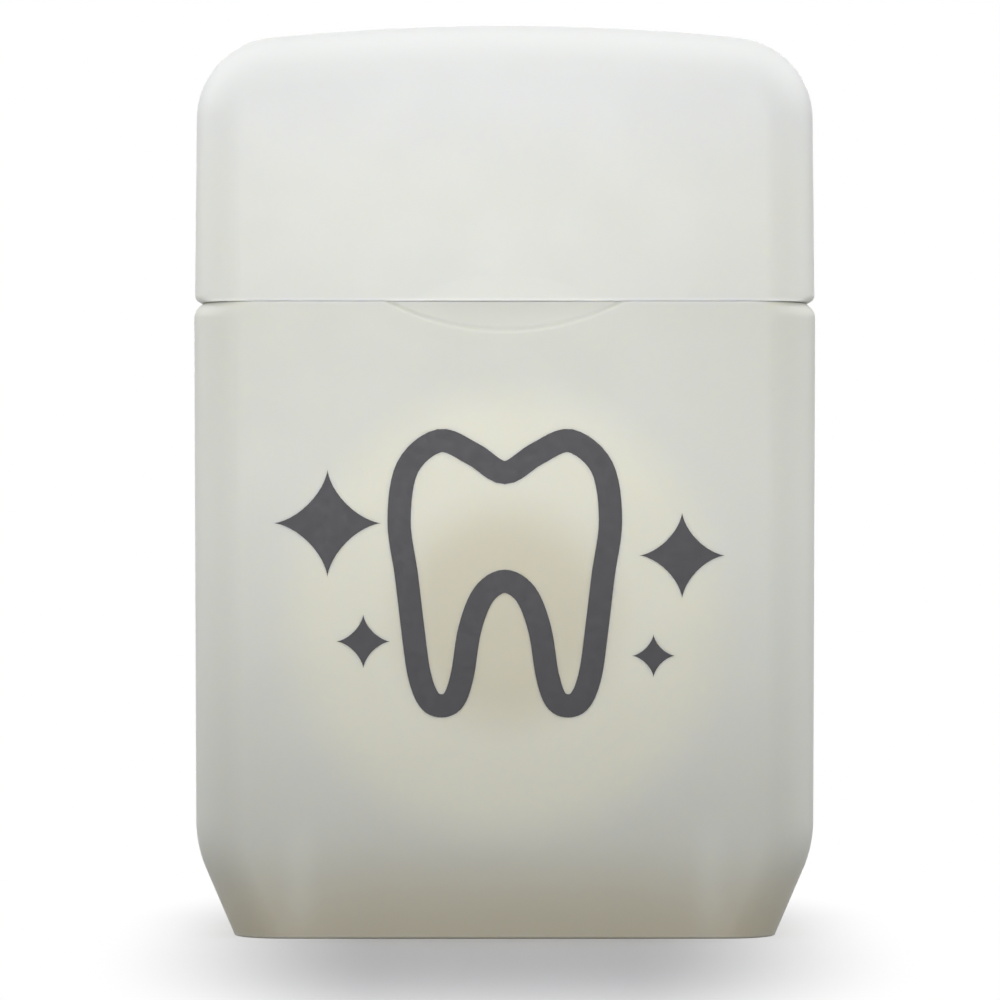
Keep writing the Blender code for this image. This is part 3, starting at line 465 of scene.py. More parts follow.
def milky_polypropylene(name, low, high, tones):
    """Natural polypropylene whose cloudy colour runs between two tones, with painted light and shade over it.
    """
    finish = Finish(name)
    base = finish.blend(finish.noise(0.09, detail=3.0, stretch=(1, 1, 0.5)), low, high)
    for mask, share, tone in tones(finish):
        base = finish.blend(mask * share, base, tone)
    roughness = 0.46 + finish.noise(0.35, detail=4.0) * 0.16
    grain = finish.noise(9.0, detail=3.0, roughness=0.6)
    normal = finish.bumps(grain * 0.2 + finish.noise(0.5) * 0.8, GRAIN_DEPTH)
    return finish.surface(base, roughness, normal, scattering((1.25, 1.2, 1.0), 0.25 * MM))


case_colours = colour(228, 229, 222), colour(234, 235, 228)
lid_colours = colour(225, 226, 220), colour(231, 232, 226)
case_finish = milky_polypropylene("natural_polypropylene_case", *case_colours, case_painted_light_and_shade)
lid_finish = milky_polypropylene("natural_polypropylene_lid", *lid_colours, lid_painted_light)
print("natural polypropylene, with and without the spool behind it")

# %% [markdown]
# ## Outlines and the solids between them
#
# A moulding is easiest to describe by outlines: the case is a stack of rounded rectangles, the lid a row of
# domed arches, the spool one section turned about an axis. These few helpers make an outline from corners
# and radii, and skin a closed solid over a row of outlines. Box primitives with a bevel would be quicker,
# but they can't give a corner whose radius changes along its length.

# %% Outlines
CORNER_STEPS = 14
BLEND_STEPS = 12


def arc(centre, radius, start, end, steps):
    """Points of an arc from one angle to another, both ends included."""
    angles = np.linspace(start, end, steps + 1)
    return [Vector((centre[0] + radius * math.cos(a), centre[1] + radius * math.sin(a))) for a in angles]


def quarter_round(steps):
    """(rising, falling) shares along a quarter of a circle: the first from 0 to 1, the second from 1 to 0."""
    return [(1 - math.cos(a), 1 - math.sin(a)) for a in np.linspace(0, math.pi / 2, steps + 1)]


def rounded_path(corners, radii, steps):
    """A path through 2-D corners, with every corner between the two ends rounded to its radius."""
    path = [Vector(corners[0])]
    for before, corner, after, radius in zip(corners, corners[1:], corners[2:], radii):
        corner = Vector(corner)
        back = (Vector(before) - corner).normalized()
        ahead = (Vector(after) - corner).normalized()
        half_angle = back.angle(ahead) / 2
        centre = corner + (back + ahead).normalized() * radius / math.sin(half_angle)
        first = corner + back * radius / math.tan(half_angle) - centre
        last = corner + ahead * radius / math.tan(half_angle) - centre
        start = math.atan2(first.y, first.x)
        turn = math.remainder(math.atan2(last.y, last.x) - start, math.tau)
        path += arc(centre, radius, start, start + turn, steps)
    path.append(Vector(corners[-1]))
    return path


def rounded_rectangle(half_width, half_depth, radius):
    x, y = half_width - radius, half_depth - radius
    points = []
    for quarter, centre in enumerate([(x, y), (-x, y), (-x, -y), (x, -y)]):
        start = quarter * math.pi / 2
        points += arc(centre, radius, start, start + math.pi / 2, CORNER_STEPS)
    return points


def stacked_rings(width_path, depth_path, corner_radius):
    """Rounded rectangles at each height of two side outlines, (half-width, z) and (half-depth, z)."""
    widths, width_heights = zip(*width_path)
    depths, depth_heights = zip(*depth_path)
    rings = []
    for z in sorted({round(z, 9) for z in width_heights + depth_heights}):
        half_width = np.interp(z, width_heights, widths)
        half_depth = np.interp(z, depth_heights, depths)
        radius = corner_radius - (max(depths) - half_depth)
        rings.append([(*point, z) for point in rounded_rectangle(half_width, half_depth, radius)])
    return rings


# %% Solids
SHARP_EDGE = math.radians(25)  # more than one step of any arc turns
CREASE = math.radians(32)


def loft(rings, closed=False):
    """A solid over rings of equally many 3-D points, capped at both ends or closed like a tyre."""
    bm = bmesh.new()
    loops = [[bm.verts.new(point) for point in ring] for ring in rings]
    for before, after in zip([loops[-1], *loops], loops) if closed else zip(loops, loops[1:]):
        for i, corner in enumerate(after):
            bm.faces.new((before[i - 1], before[i], corner, after[i - 1]))
    if not closed:
        bm.faces.new(loops[0])
        bm.faces.new(loops[-1])
    bmesh.ops.recalc_face_normals(bm, faces=bm.faces)
    return bm


def moved(bm, matrix):
    bmesh.ops.transform(bm, matrix=matrix, verts=bm.verts)
    return bm


def standing(outline, low, high):
    return loft([[(*point, z) for point in outline] for z in (low, high)])


def facing_front(outline, front, back):
    return loft([[(x, y, z) for x, z in outline] for y in (front, back)])


def facing_side(outline, left, right):
    return loft([[(x, y, z) for y, z in outline] for x in (left, right)])


def about(middle, half):
    """Both ends of a stretch about its middle."""
    return middle - half, middle + half


def block(xs, ys, zs):
    """A box between two places along each axis."""
    return standing([(xs[0], ys[0]), (xs[1], ys[0]), (xs[1], ys[1]), (xs[0], ys[1])], *zs)


def soften(bm, width, segments=3):
    """Rounds every edge of a plain solid that is sharper than its arcs."""
    sharp = [edge for edge in bm.edges if edge.calc_face_angle(0) > SHARP_EDGE]
    bmesh.ops.bevel(
        bm, geom=sharp, offset=width, segments=segments, profile=0.5, affect="EDGES", clamp_overlap=True
    )
    return bm


def solid(name, bm, material=None):
    """Makes an object of a bmesh, with its faces pointing out."""
    bmesh.ops.recalc_face_normals(bm, faces=bm.faces)
    mesh = bpy.data.meshes.new(name)
    bm.to_mesh(mesh)
    bm.free()
    if material:
        mesh.materials.append(material)
    return placed(name, mesh)


def carve(target, tools, operation="DIFFERENCE"):
    """Cuts tools, bmeshes or objects, from a solid or joins them to it, and clears them away."""
    tools = [solid("tool", tool) if isinstance(tool, bmesh.types.BMesh) else tool for tool in tools]
    for tool in tools:
        modifier = target.modifiers.new(tool.name, "BOOLEAN")
        modifier.operation = operation
        modifier.object = tool
    depsgraph = bpy.context.evaluated_depsgraph_get()
    final = bpy.data.meshes.new_from_object(target.evaluated_get(depsgraph), depsgraph=depsgraph)
    target.modifiers.clear()
    final.name = target.name
    target.data = final
    for tool in tools:
        bpy.data.objects.remove(tool)
    return target


def shade(target):
    """Smooth shading with creases kept, and flat faces kept flat."""
    target.data.shade_smooth()
    target.data.set_sharp_from_angle(angle=CREASE)
    even = target.modifiers.new("even_shading", "WEIGHTED_NORMAL")
    even.keep_sharp = True
    return target


def dress(target, body, slot, *nodes):
    """The piece is shaded, rides on a body and hides the CAD nodes that it stands for. slot is not used."""
    shade(target)
    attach(target, body)
    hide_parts(*nodes)
    print(f"{target.name}: {len(target.data.polygons)} faces, on {body}")


print("outlines and solids are ready")

# %% [markdown]
# ## Reliefs pressed into a flat wall
#
# The thumb scoop, the lip and the seats of the hinge films are shallow steps in flat walls. A Boolean cut
# would leave them knife-sharp, and a bevel on such a cut breaks where its curves meet the rim. So the
# wall's faces are scored by planes into a fine grid just where the relief lies, and the points of the grid
# are pushed in or out by a smooth function of their place. The rounded rim beside the relief moves with it,
# as in the real mould.

# %% Scoring and pressing
HALF_DEPTH = case_high.y
PLANE_SLACK = MM / 10000


def score(bm, picks, axis, places):
    """Cuts the faces whose middle is picked by planes square to an axis."""
    for place in places:
        faces = [face for face in bm.faces if picks(face.calc_center_median())]
        parts = dict.fromkeys(part for face in faces for part in (face, *face.edges, *face.verts))
        spot, normal = Vector(), Vector()
        spot[axis] = place
        normal[axis] = 1
        bmesh.ops.bisect_plane(bm, geom=list(parts), dist=PLANE_SLACK, plane_co=spot, plane_no=normal)


def on_wall(side, edge, low, high=math.inf):
    """Picks what lies on the front (-1) or back (1) wall between two heights. edge is its rim's radius."""
    return lambda spot: side * spot.y > HALF_DEPTH - edge - PLANE_SLACK and low < spot.z < high


def press(bm, picks, columns, rows, relief):
    """Scores the picked faces in columns and rows, and moves their points along Y by the relief at each."""
    score(bm, picks, 0, columns)
    score(bm, picks, 2, rows)
    for vert in bm.verts:
        if picks(vert.co):
            vert.co.y += relief(vert.co.x, vert.co.z)


def ease(share):
    """Goes smoothly from 0 to 1 as share does."""
    share = min(max(share, 0.0), 1.0)
    return share * share * (3 - 2 * share)


def lens_radius(chord, rise):
    """Radius of the arc over a chord."""
    return (chord * chord / 4 + rise * rise) / (2 * rise)


print(f"walls are pressed {HALF_DEPTH / MM:.1f} mm in front of and behind the middle")

# %% [markdown]
# ## Seats for the hinge films
#
# Two thin films join the lid to the case across the back of the seam. Each lies in a shallow seat, half of
# it in the case and half in the lid, so one relief serves both. Its walls stand almost square, with just
# enough slope for a mould to let go.

# %% Hinge seats
strap_low, strap_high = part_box("hinge_strap_right")
HINGE_Y = strap_high.y
HINGE_Z = (strap_low.z + strap_high.z) / 2
STRAP_MIDDLE = (strap_low.x + strap_high.x) / 2
STRAP_HALF_WIDTH = (strap_high.x - strap_low.x) / 2
STRAP_HALF_HEIGHT = (strap_high.z - strap_low.z) / 2
SEAT_MARGIN = 0.15 * MM
SEAT_DEPTH = 0.45 * MM
SEAT_SLOPE = 0.08 * MM
SLOPE_SHARES = (0, 0.25, 0.5, 0.75, 1)
BASE_RADIUS = 0.15 * MM  # of the case's lower edge, which the scored wall leaves out


def seat_relief(x, z):
    """How far forward the back wall lies at a place in the seats."""
    across = STRAP_HALF_WIDTH + SEAT_MARGIN - abs(abs(x) - STRAP_MIDDLE)
    along = STRAP_HALF_HEIGHT + SEAT_MARGIN - abs(z - HINGE_Z)
    return -SEAT_DEPTH * ease(across / SEAT_SLOPE) * ease(along / SEAT_SLOPE)


def seat_walls(middle, half):
    """Places across both sloping walls of a seat."""
    places = []
    for end in (-1, 1):
        outside = middle + end * (half + SEAT_MARGIN)
        places += [outside - end * share * SEAT_SLOPE for share in SLOPE_SHARES]
    return places


def press_seats(bm, edge):
    """Presses both seats into the back of the case or lid, whose rim has a radius of edge."""
    columns = seat_walls(-STRAP_MIDDLE, STRAP_HALF_WIDTH) + seat_walls(STRAP_MIDDLE, STRAP_HALF_WIDTH)
    press(bm, on_wall(1, edge, BASE_RADIUS), columns, seat_walls(HINGE_Z, STRAP_HALF_HEIGHT), seat_relief)


print(f"hinge line at {HINGE_Z / MM:.2f} mm, films {STRAP_HALF_WIDTH / MM * 2:.1f} mm wide")

# %% [markdown]
# ## The case
#
# The case is one open box with soft upright corners, a chamfered foot and walls about a millimetre thick.
# Its outside is a loft of rounded rectangles, and the cavity is a second loft cut from the first, so that
# the wall's thickness is real: light that scatters in it leaks through where it is thin.
#
# Inside, four guide ribs stand on the side walls and two pockets hold the frame's lugs. They come from
# cutting the cavity, as a toolmaker thinks of it: what is missing from the core stands in the case.

# %% Case sizes
CASE_HEIGHT = case_high.z
CASE_WALL = 1.2 * MM
CASE_FLOOR = 1.4 * MM
CASE_TAPER = 0.12 * MM
CHAMFER_INSET = 2.3 * MM
CHAMFER_HEIGHT = 5.05 * MM
CHAMFER_BLEND = 7.0 * MM
RIM_RADIUS = 0.9 * MM
FRONT_RIM_RADIUS = 0.03 * MM
FLOOR_RADIUS = 0.8 * MM
VERTICAL_RADIUS = 2.9 * MM
OVERRUN = 1.0 * MM
CAVITY_HALF_WIDTH = case_high.x - CASE_WALL
CAVITY_HALF_DEPTH = case_high.y - CASE_WALL


def case_corners():
    """The case's right side in the front view, from the middle of the base up to the rim."""
    half = case_high.x
    return [(0, 0), (half - CHAMFER_INSET, 0), (half - CASE_TAPER, CHAMFER_HEIGHT), (half, CASE_HEIGHT)]


def inset_path(corners, distances):
    """Moves each stretch of a 2-D path to its left by its own distance, and gives the new corners."""
    lines = []
    for a, b, distance in zip(corners, corners[1:], distances):
        along = (Vector(b) - Vector(a)).normalized()
        lines.append((Vector(a) + Vector((-along.y, along.x)) * distance, along))
    path = [lines[0][0]]
    for (p, d), (q, e) in zip(lines, lines[1:]):
        path.append(p + d * ((q - p).cross(e) / d.cross(e)))
    path.append(Vector(corners[-1]) + (lines[-1][0] - Vector(corners[-2])))
    return path


def case_outside():
    corners = case_corners() + [(0, CASE_HEIGHT)]
    width_path = rounded_path(corners, [BASE_RADIUS, CHAMFER_BLEND, RIM_RADIUS], BLEND_STEPS)
    depth_corners = [(0, 0), (HALF_DEPTH, 0), (HALF_DEPTH, CASE_HEIGHT), (0, CASE_HEIGHT)]
    depth_path = rounded_path(depth_corners, [BASE_RADIUS, FRONT_RIM_RADIUS], BLEND_STEPS)
    return loft(stacked_rings(width_path[1:-1], depth_path[1:-1], VERTICAL_RADIUS))


def case_core():
    """The space inside the case, running out past the rim."""
    corners = inset_path(case_corners(), [CASE_FLOOR, CASE_WALL, CASE_WALL])
    top = CASE_HEIGHT + OVERRUN
    corners[-1] = Vector((CAVITY_HALF_WIDTH, top))
    width_path = rounded_path(corners, [FLOOR_RADIUS, CHAMFER_BLEND], BLEND_STEPS)
    depth_corners = [(0, CASE_FLOOR), (CAVITY_HALF_DEPTH, CASE_FLOOR), (CAVITY_HALF_DEPTH, top)]
    depth_path = rounded_path(depth_corners, [FLOOR_RADIUS], BLEND_STEPS)
    return loft(stacked_rings(width_path[1:], depth_path[1:], VERTICAL_RADIUS - CASE_WALL))


print(f"case: walls {CASE_WALL / MM:.1f} mm, floor {CASE_FLOOR / MM:.1f} mm")

# %% Thumb scoop
SCOOP_CHORD = 13.8 * MM
SCOOP_DROP = 1.75 * MM
SCOOP_DEPTH = 0.2 * MM
SCOOP_STEP = 0.3 * MM
GRID = 0.11 * MM


def columns_over(chord):
    """Places of the grid across a chord about the middle."""
    half = chord / 2 + GRID
    return np.arange(-half, half + GRID, GRID)


def scoop_relief(x, z):
    """How far back the front wall lies at a place in the scoop."""
    radius = lens_radius(SCOOP_CHORD, SCOOP_DROP)
    inside = radius - math.hypot(x, z - (CASE_HEIGHT - SCOOP_DROP + radius))
    return SCOOP_DEPTH * ease(inside / SCOOP_STEP)


def press_scoop(bm):
    wall = on_wall(-1, FRONT_RIM_RADIUS, 2 * CHAMFER_HEIGHT)
    rows = np.arange(CASE_HEIGHT - SCOOP_DROP - GRID, CASE_HEIGHT - FRONT_RIM_RADIUS, GRID)
    press(bm, wall, columns_over(SCOOP_CHORD), rows, scoop_relief)


print(f"scoop: {SCOOP_CHORD / MM:.1f} mm wide, {SCOOP_DEPTH / MM:.1f} mm deep")

# %% Ribs and pockets inside the case
frame_low, frame_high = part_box("snap_in_frame")
DECK_THICKNESS = 1.2 * MM
DECK_DROP = 0.3 * MM
DECK_TOP = CASE_HEIGHT - DECK_DROP
DECK_BOTTOM = DECK_TOP - DECK_THICKNESS
SEAT_GAP = 0.15 * MM
RIB_THICKNESS = 0.9 * MM
RIB_SPREAD = 7.0 * MM
RIB_REACH = 1.9 * MM
LUG_LENGTH = 6.0 * MM
LUG_HEIGHT = 0.9 * MM
LUG_REACH = frame_high.x - CAVITY_HALF_WIDTH
WELD_DEPTH = 0.3 * MM
FRAME_CLEARANCE = 0.15 * MM
DECK_HALF_WIDTH = CAVITY_HALF_WIDTH - FRAME_CLEARANCE
DECK_HALF_DEPTH = CAVITY_HALF_DEPTH - FRAME_CLEARANCE


def guide_rib(side, y):
    """Block that leaves a rib standing on one side wall when it is taken out of the core."""
    across = sorted((side * (CAVITY_HALF_WIDTH - RIB_REACH), side * (case_high.x + OVERRUN)))
    return block(across, about(y, RIB_THICKNESS / 2), (CASE_FLOOR - OVERRUN, DECK_BOTTOM - SEAT_GAP))


def lug_outline(side, clearance):
    """A retaining lug in the front view, grown by a clearance for the pocket that takes it."""
    inside = DECK_HALF_WIDTH - WELD_DEPTH
    outside = CAVITY_HALF_WIDTH + LUG_REACH + clearance
    low = DECK_BOTTOM - clearance
    high = DECK_BOTTOM + LUG_HEIGHT + clearance
    shoulder = DECK_BOTTOM + LUG_HEIGHT - LUG_REACH - clearance
    wedge = [(inside, low), (DECK_HALF_WIDTH, low), (outside, shoulder), (outside, high), (inside, high)]
    return [(side * x, z) for x, z in wedge]


def lug_pocket(side):
    return facing_front(lug_outline(side, SEAT_GAP), *about(0, LUG_LENGTH / 2 + SEAT_GAP))


print(f"deck: top at {DECK_TOP / MM:.1f} mm, underside at {DECK_BOTTOM / MM:.1f} mm")

# %% Case
outside = case_outside()
press_scoop(outside)
press_seats(outside, FRONT_RIM_RADIUS)
case = solid("frosted_case", outside, case_finish)
core = solid("case_core", case_core())
carve(core, [guide_rib(side, y) for side in (-1, 1) for y in about(0, RIB_SPREAD / 2)])
carve(case, [core, lug_pocket(-1), lug_pocket(1)])
dress(case, "case", "natural_polypropylene", "case_body")

# %% [markdown]
# ## The lid
#
# The lid is a low dome over the whole width, with rounder shoulders than the case and long soft edges at
# the front and back. Seen from the front every layer of it is the same arch, only smaller near the front
# and back faces. So it is built as a row of arches from front to back, each moved inwards by as much as a
# quarter-round edge asks for. The same function, moved in by the wall, gives the hollow.

# %% Lid sizes and arches
SEAM = 0.003 * MM  # what can be seen of the gap; the frame keeps more, so that its solids never touch
LID_BOTTOM = CASE_HEIGHT + SEAM
LID_HEIGHT = lid_high.z - LID_BOTTOM
LID_HALF_WIDTH = lid_high.x
LID_WALL = 1.1 * MM
LID_TAPER = 0.15 * MM
DOME_RADIUS = 130.0 * MM
LID_CORNER = 4.6 * MM
LID_EDGE = 0.025 * MM
LID_EDGE_SEGMENTS = 5
LID_SIDE_EDGE = 0.4 * MM
LID_SIDE_REACH = 1.2 * MM
LID_SIDE_STEPS = 8
DOME_STEPS = 28
EDGE_STEPS = 18


def lid_arch(inset, bottom):
    """The lid's front view moved in by inset, from its lower right corner over the dome to its lower left."""
    lean = math.atan2(LID_TAPER, LID_HEIGHT)
    up = Vector((-math.sin(lean), math.cos(lean)))
    inward = Vector((-math.cos(lean), -math.sin(lean)))
    foot = Vector((LID_HALF_WIDTH, LID_BOTTOM)) + inward * inset
    dome = Vector((0, LID_BOTTOM + LID_HEIGHT - DOME_RADIUS))
    dome_radius = DOME_RADIUS - inset
    corner_radius = LID_CORNER - inset
    # The corner's centre lies one corner radius in from the side and from the dome.
    start = foot + inward * corner_radius - dome
    along = start.dot(up)
    beyond = start.length_squared - (dome_radius - corner_radius) ** 2
    centre = dome + start + up * (math.sqrt(along * along - beyond) - along)
    dome_angle = math.atan2(centre.y - dome.y, centre.x - dome.x)
    right = [Vector((foot.x, bottom))]
    right += arc(centre, corner_radius, lean, dome_angle, CORNER_STEPS)
    right += arc(dome, dome_radius, dome_angle, math.pi / 2, DOME_STEPS)[1:]
    return right + [Vector((-point.x, point.y)) for point in reversed(right[:-1])]


def lid_solid(wall, bottom):
    """The lid's outside, or with a wall the space inside it, as arches set side by side along Y."""
    radius = VERTICAL_RADIUS - wall
    front = []
    for rising, falling in quarter_round(EDGE_STEPS):
        front.append((radius * rising + wall - HALF_DEPTH, radius * falling + wall))
    stations = front + [(-y, inset) for y, inset in reversed(front)]
    return loft([[(x, y, z) for x, z in lid_arch(inset, bottom)] for y, inset in stations])


def round_lower_edge(bm, z, width):
    """Makes one face of what lies at the lowest height, and rounds the edge about it."""
    flat = [face for face in bm.faces if all(abs(vert.co.z - z) < PLANE_SLACK for vert in face.verts)]
    edges = list(bmesh.ops.dissolve_faces(bm, faces=flat)["region"][0].edges)
    bmesh.ops.bevel(bm, geom=edges, offset=width, segments=LID_EDGE_SEGMENTS, profile=0.5, affect="EDGES")


def round_side_edges(bm):
    """Rounds the lower edge at both sides, where it shows in the outline, and leaves it crisp in front."""

    def picks(spot):
        return abs(spot.x) > LID_HALF_WIDTH - VERTICAL_RADIUS and spot.z < LID_BOTTOM + LID_HEIGHT / 2

    rises = [rising for rising, _ in quarter_round(LID_SIDE_STEPS)]
    score(bm, picks, 2, [LID_BOTTOM + LID_EDGE + LID_SIDE_EDGE * rising for rising in rises])
    for vert in bm.verts:
        height = (vert.co.z - LID_BOTTOM) / LID_SIDE_EDGE
        if picks(vert.co) and height < 1:
            inset = LID_SIDE_EDGE * (1 - math.sqrt(1 - min(1 - height, 1.0) ** 2))
            share = ease((abs(vert.co.x) - LID_HALF_WIDTH + LID_SIDE_REACH) / LID_SIDE_REACH)
            vert.co.x -= math.copysign(inset * share, vert.co.x)


print(f"lid: {LID_HEIGHT / MM:.1f} mm high, walls {LID_WALL / MM:.1f} mm")

# %% Thumb lip
LIP_CHORD = 10.6 * MM
LIP_HEIGHT = 1.5 * MM
LIP_REACH = 0.2 * MM
LIP_UPRIGHT_SHARE = 0.2
LIP_WALL_SHARE = 0.7  # of the lid's height: the wall below its shoulder


def lip_relief(x, z):
    """How far forward the lid's front lies at a place on the lip, most in the middle of its lower edge."""
    radius = lens_radius(LIP_CHORD, LIP_HEIGHT)
    if abs(x) >= LIP_CHORD / 2:
        return 0.0
    height = math.sqrt(radius * radius - x * x) - (radius - LIP_HEIGHT)
    share = (z - LID_BOTTOM) / height
    slope = min(max((1 - share) / (1 - LIP_UPRIGHT_SHARE), 0.0), 1.0)
    return -LIP_REACH * height / LIP_HEIGHT * slope


def press_lip(bm):
    wall = on_wall(-1, LID_EDGE, 0, LID_BOTTOM + LID_HEIGHT * LIP_WALL_SHARE)
    rows = np.arange(LID_BOTTOM + LID_EDGE, LID_BOTTOM + LIP_HEIGHT + GRID, GRID / 2)
    press(bm, wall, columns_over(LIP_CHORD), rows, lip_relief)


print(f"lip: {LIP_CHORD / MM:.1f} mm wide, {LIP_REACH / MM:.1f} mm proud")

# %% Lid
BEAD_LENGTH = 9.0 * MM
BEAD_HALF_HEIGHT = 0.35 * MM
BEAD_HEIGHT = 1.1 * MM
GROOVE_DEPTH = 0.15 * MM


def snap_groove():
    """The shallow groove inside the lid's front wall that the frame's bead clicks into."""
    wall = LID_WALL - HALF_DEPTH
    heights = about(LID_BOTTOM + BEAD_HEIGHT, BEAD_HALF_HEIGHT + SEAT_GAP)
    return block(about(0, BEAD_LENGTH / 2 + SEAT_GAP), (wall - GROOVE_DEPTH, wall + WELD_DEPTH), heights)


dome = lid_solid(0, LID_BOTTOM)
round_lower_edge(dome, LID_BOTTOM, LID_EDGE)
round_side_edges(dome)
press_lip(dome)
press_seats(dome, LID_EDGE)
lid = solid("frosted_lid", dome, lid_finish)
carve(lid, [lid_solid(LID_WALL, LID_BOTTOM - OVERRUN), snap_groove()])
dress(lid, "lid", "natural_polypropylene", "flip_lid")

# %% [markdown]
# ## The films of the hinge
#
# Such a hinge is not a part but a place: the plastic thins to a fifth of a millimetre and folds there. Each
# film is one profile, flat outside and hollowed inside towards the fold, and it is cut finely across.
#
# Polypropylene goes white where it has been folded, so the finish is paler in a thin line along the fold.

# %% Hinge films
FILM_THICKNESS = strap_high.y - strap_low.y
FILM_WAIST = 0.2 * MM
FILM_STEPS = 64
FILM_EDGE = 0.02 * MM
WHITENING = (0.42, 0.12)  # millimetres from the fold, where it starts and where it is full
# side, piece and the node that it stands for
FILMS = [(-1, "hinge_film_left", "hinge_strap_left"), (1, "hinge_film_right", "hinge_strap_right")]


def film_polypropylene():
    finish = Finish("natural_polypropylene_film")
    ragged = abs(finish.along(2) - HINGE_Z / MM) + finish.noise(3.0) * 0.2
    fold = finish.smooth(ragged, *WHITENING, "LINEAR")
    base = finish.blend(fold, colour(228, 229, 223), colour(246, 246, 243))
    creases = finish.bumps(finish.noise(6.0, stretch=(0.15, 1, 3)), 0.01 * MM)
    return finish.surface(base, 0.38 + fold * 0.25, creases, scattering((1.0, 1.0, 0.9), 0.3 * MM))


def hinge_film(side, name, finish):
    half_thinning = (FILM_THICKNESS - FILM_WAIST) / 2
    inner = []
    for share in np.linspace(-1, 1, FILM_STEPS + 1):
        thinning = half_thinning * (1 + math.cos(math.pi * share))
        inner.append((HINGE_Y - FILM_THICKNESS + thinning, HINGE_Z + share * STRAP_HALF_HEIGHT))
    outer = [(HINGE_Y, z) for _, z in reversed(inner)]
    film = facing_side(inner + outer, *about(side * STRAP_MIDDLE, STRAP_HALF_WIDTH))
    film = shade(solid(name, soften(film, FILM_EDGE, 2), finish))
    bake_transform(film)
    return film


film_finish = film_polypropylene()
for side, name, node in FILMS:
    film = hinge_film(side, name, film_finish)
    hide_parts(node)
    print(f"{name}: {len(film.data.polygons)} faces, bends from the case to the lid")

# %% [markdown]
# ## The snap-in frame
#
# Open the lid and the frame is what shows: a deck with a raised neck round it, a platform for the cutter
# and a flared outlet for the thread. The rest hangs below: a back plate with the axle, two rails and their
# stand-offs. It is one moulding in white polypropylene, so the pieces are joined into one solid.
#
# A moulding has no sharp inside or outside corner. Bosses get their fillet at the foot and their round edge
# at the top as steps of their outline, and plain blocks are softened before they are joined, because an
# edge that a Boolean has cut is much harder to round afterwards.

# %% White polypropylene
def white_polypropylene():
    finish = Finish("white_polypropylene")
    base = finish.blend(finish.noise(0.2, detail=3.0), colour(233, 233, 226), colour(240, 240, 235))
    roughness = 0.34 + finish.noise(0.9, detail=4.0) * 0.16
    normal = finish.bumps(finish.noise(12.0, detail=3.0) * 0.25 + finish.noise(0.8) * 0.75, GRAIN_DEPTH)
    return finish.surface(base, roughness, normal, scattering((1.0, 0.95, 0.8), 0.35 * MM))


white_finish = white_polypropylene()
print("white polypropylene")

# %% Bosses and turned bodies
FILLET = 0.3 * MM
TOP_EDGE = 0.22 * MM
SOFT_EDGE = 0.15 * MM
ROUND_STEPS = 6
DECK_RADIUS = VERTICAL_RADIUS - CASE_WALL - FRAME_CLEARANCE


def flare_foot(foot):
    """(inset, height) along the fillet at the foot of a boss, from the deck up."""
    return [(-FILLET * falling, foot + FILLET * rising) for rising, falling in quarter_round(ROUND_STEPS)]


def round_top(high):
    """(inset, height) along the round top edge of a boss, going up."""
    return [(TOP_EDGE * rising, high - TOP_EDGE * falling) for rising, falling in quarter_round(ROUND_STEPS)]


def turned(profile, steps):
    """A body turned about Z from a closed (radius, height) profile that stays off the axis."""
    turns = [(math.cos(a), math.sin(a)) for a in np.linspace(0, math.tau, steps, endpoint=False)]
    return loft([[(r * c, r * s, h) for r, h in profile] for c, s in turns], closed=True)


print(f"bosses: fillet {FILLET / MM:.1f} mm, top edge {TOP_EDGE / MM:.2f} mm")

# %% Neck with its snap bead
NECK_HEIGHT = 2.2 * MM
NECK_THICKNESS = 0.8 * MM
NECK_GAP = 0.25 * MM
NECK_HALF_WIDTH = LID_HALF_WIDTH - LID_WALL - NECK_GAP
NECK_HALF_DEPTH = HALF_DEPTH - LID_WALL - NECK_GAP
BEAD_REACH = 0.12 * MM


def neck():
    """A wall that runs right round, from a closed section of (inset, height)."""
    low = DECK_TOP - WELD_DEPTH
    outside = round_top(DECK_TOP + NECK_HEIGHT)
    inside = [(NECK_THICKNESS - inset, z) for inset, z in reversed(outside)]
    foot = [(NECK_THICKNESS - inset, z) for inset, z in reversed(flare_foot(DECK_TOP))]
    rings = []
    for inset, z in [(0, low), *outside, *inside, *foot, (NECK_THICKNESS + FILLET, low)]:
        sizes = [size - inset for size in (NECK_HALF_WIDTH, NECK_HALF_DEPTH, DECK_RADIUS)]
        rings.append([(*point, z) for point in rounded_rectangle(*sizes)])
    return loft(rings, closed=True)


def snap_bead():
    front = -NECK_HALF_DEPTH
    root = front + WELD_DEPTH
    middle = LID_BOTTOM + BEAD_HEIGHT
    low, high = about(middle, BEAD_HALF_HEIGHT)
    bead = [(root, low), (front, low), (front - BEAD_REACH, middle), (front, high), (root, high)]
    return facing_side(bead, *about(0, BEAD_LENGTH / 2))


print(f"neck: {NECK_HEIGHT / MM:.1f} mm high, {NECK_THICKNESS / MM:.1f} mm thick")

# %% Cutter platform and outlet
PLATFORM_MIDDLE = 0.55 * MM
PLATFORM_LENGTH = 8.6 * MM
PLATFORM_WIDTH = 6.0 * MM
PLATFORM_TOP = frame_high.z
PLATFORM_WALL = 1.0 * MM
PLATFORM_RADIUS = 0.9 * MM
OUTLET_X = -8.0 * MM
OUTLET_BORE = 0.8 * MM
OUTLET_MOUTH = 1.5 * MM
OUTLET_RADIUS = 1.8 * MM
OUTLET_RISE = 1.5 * MM
OUTLET_SKIRT = 1.0 * MM
OUTLET_FLARE = 0.8 * MM
OUTLET_STEPS = 72


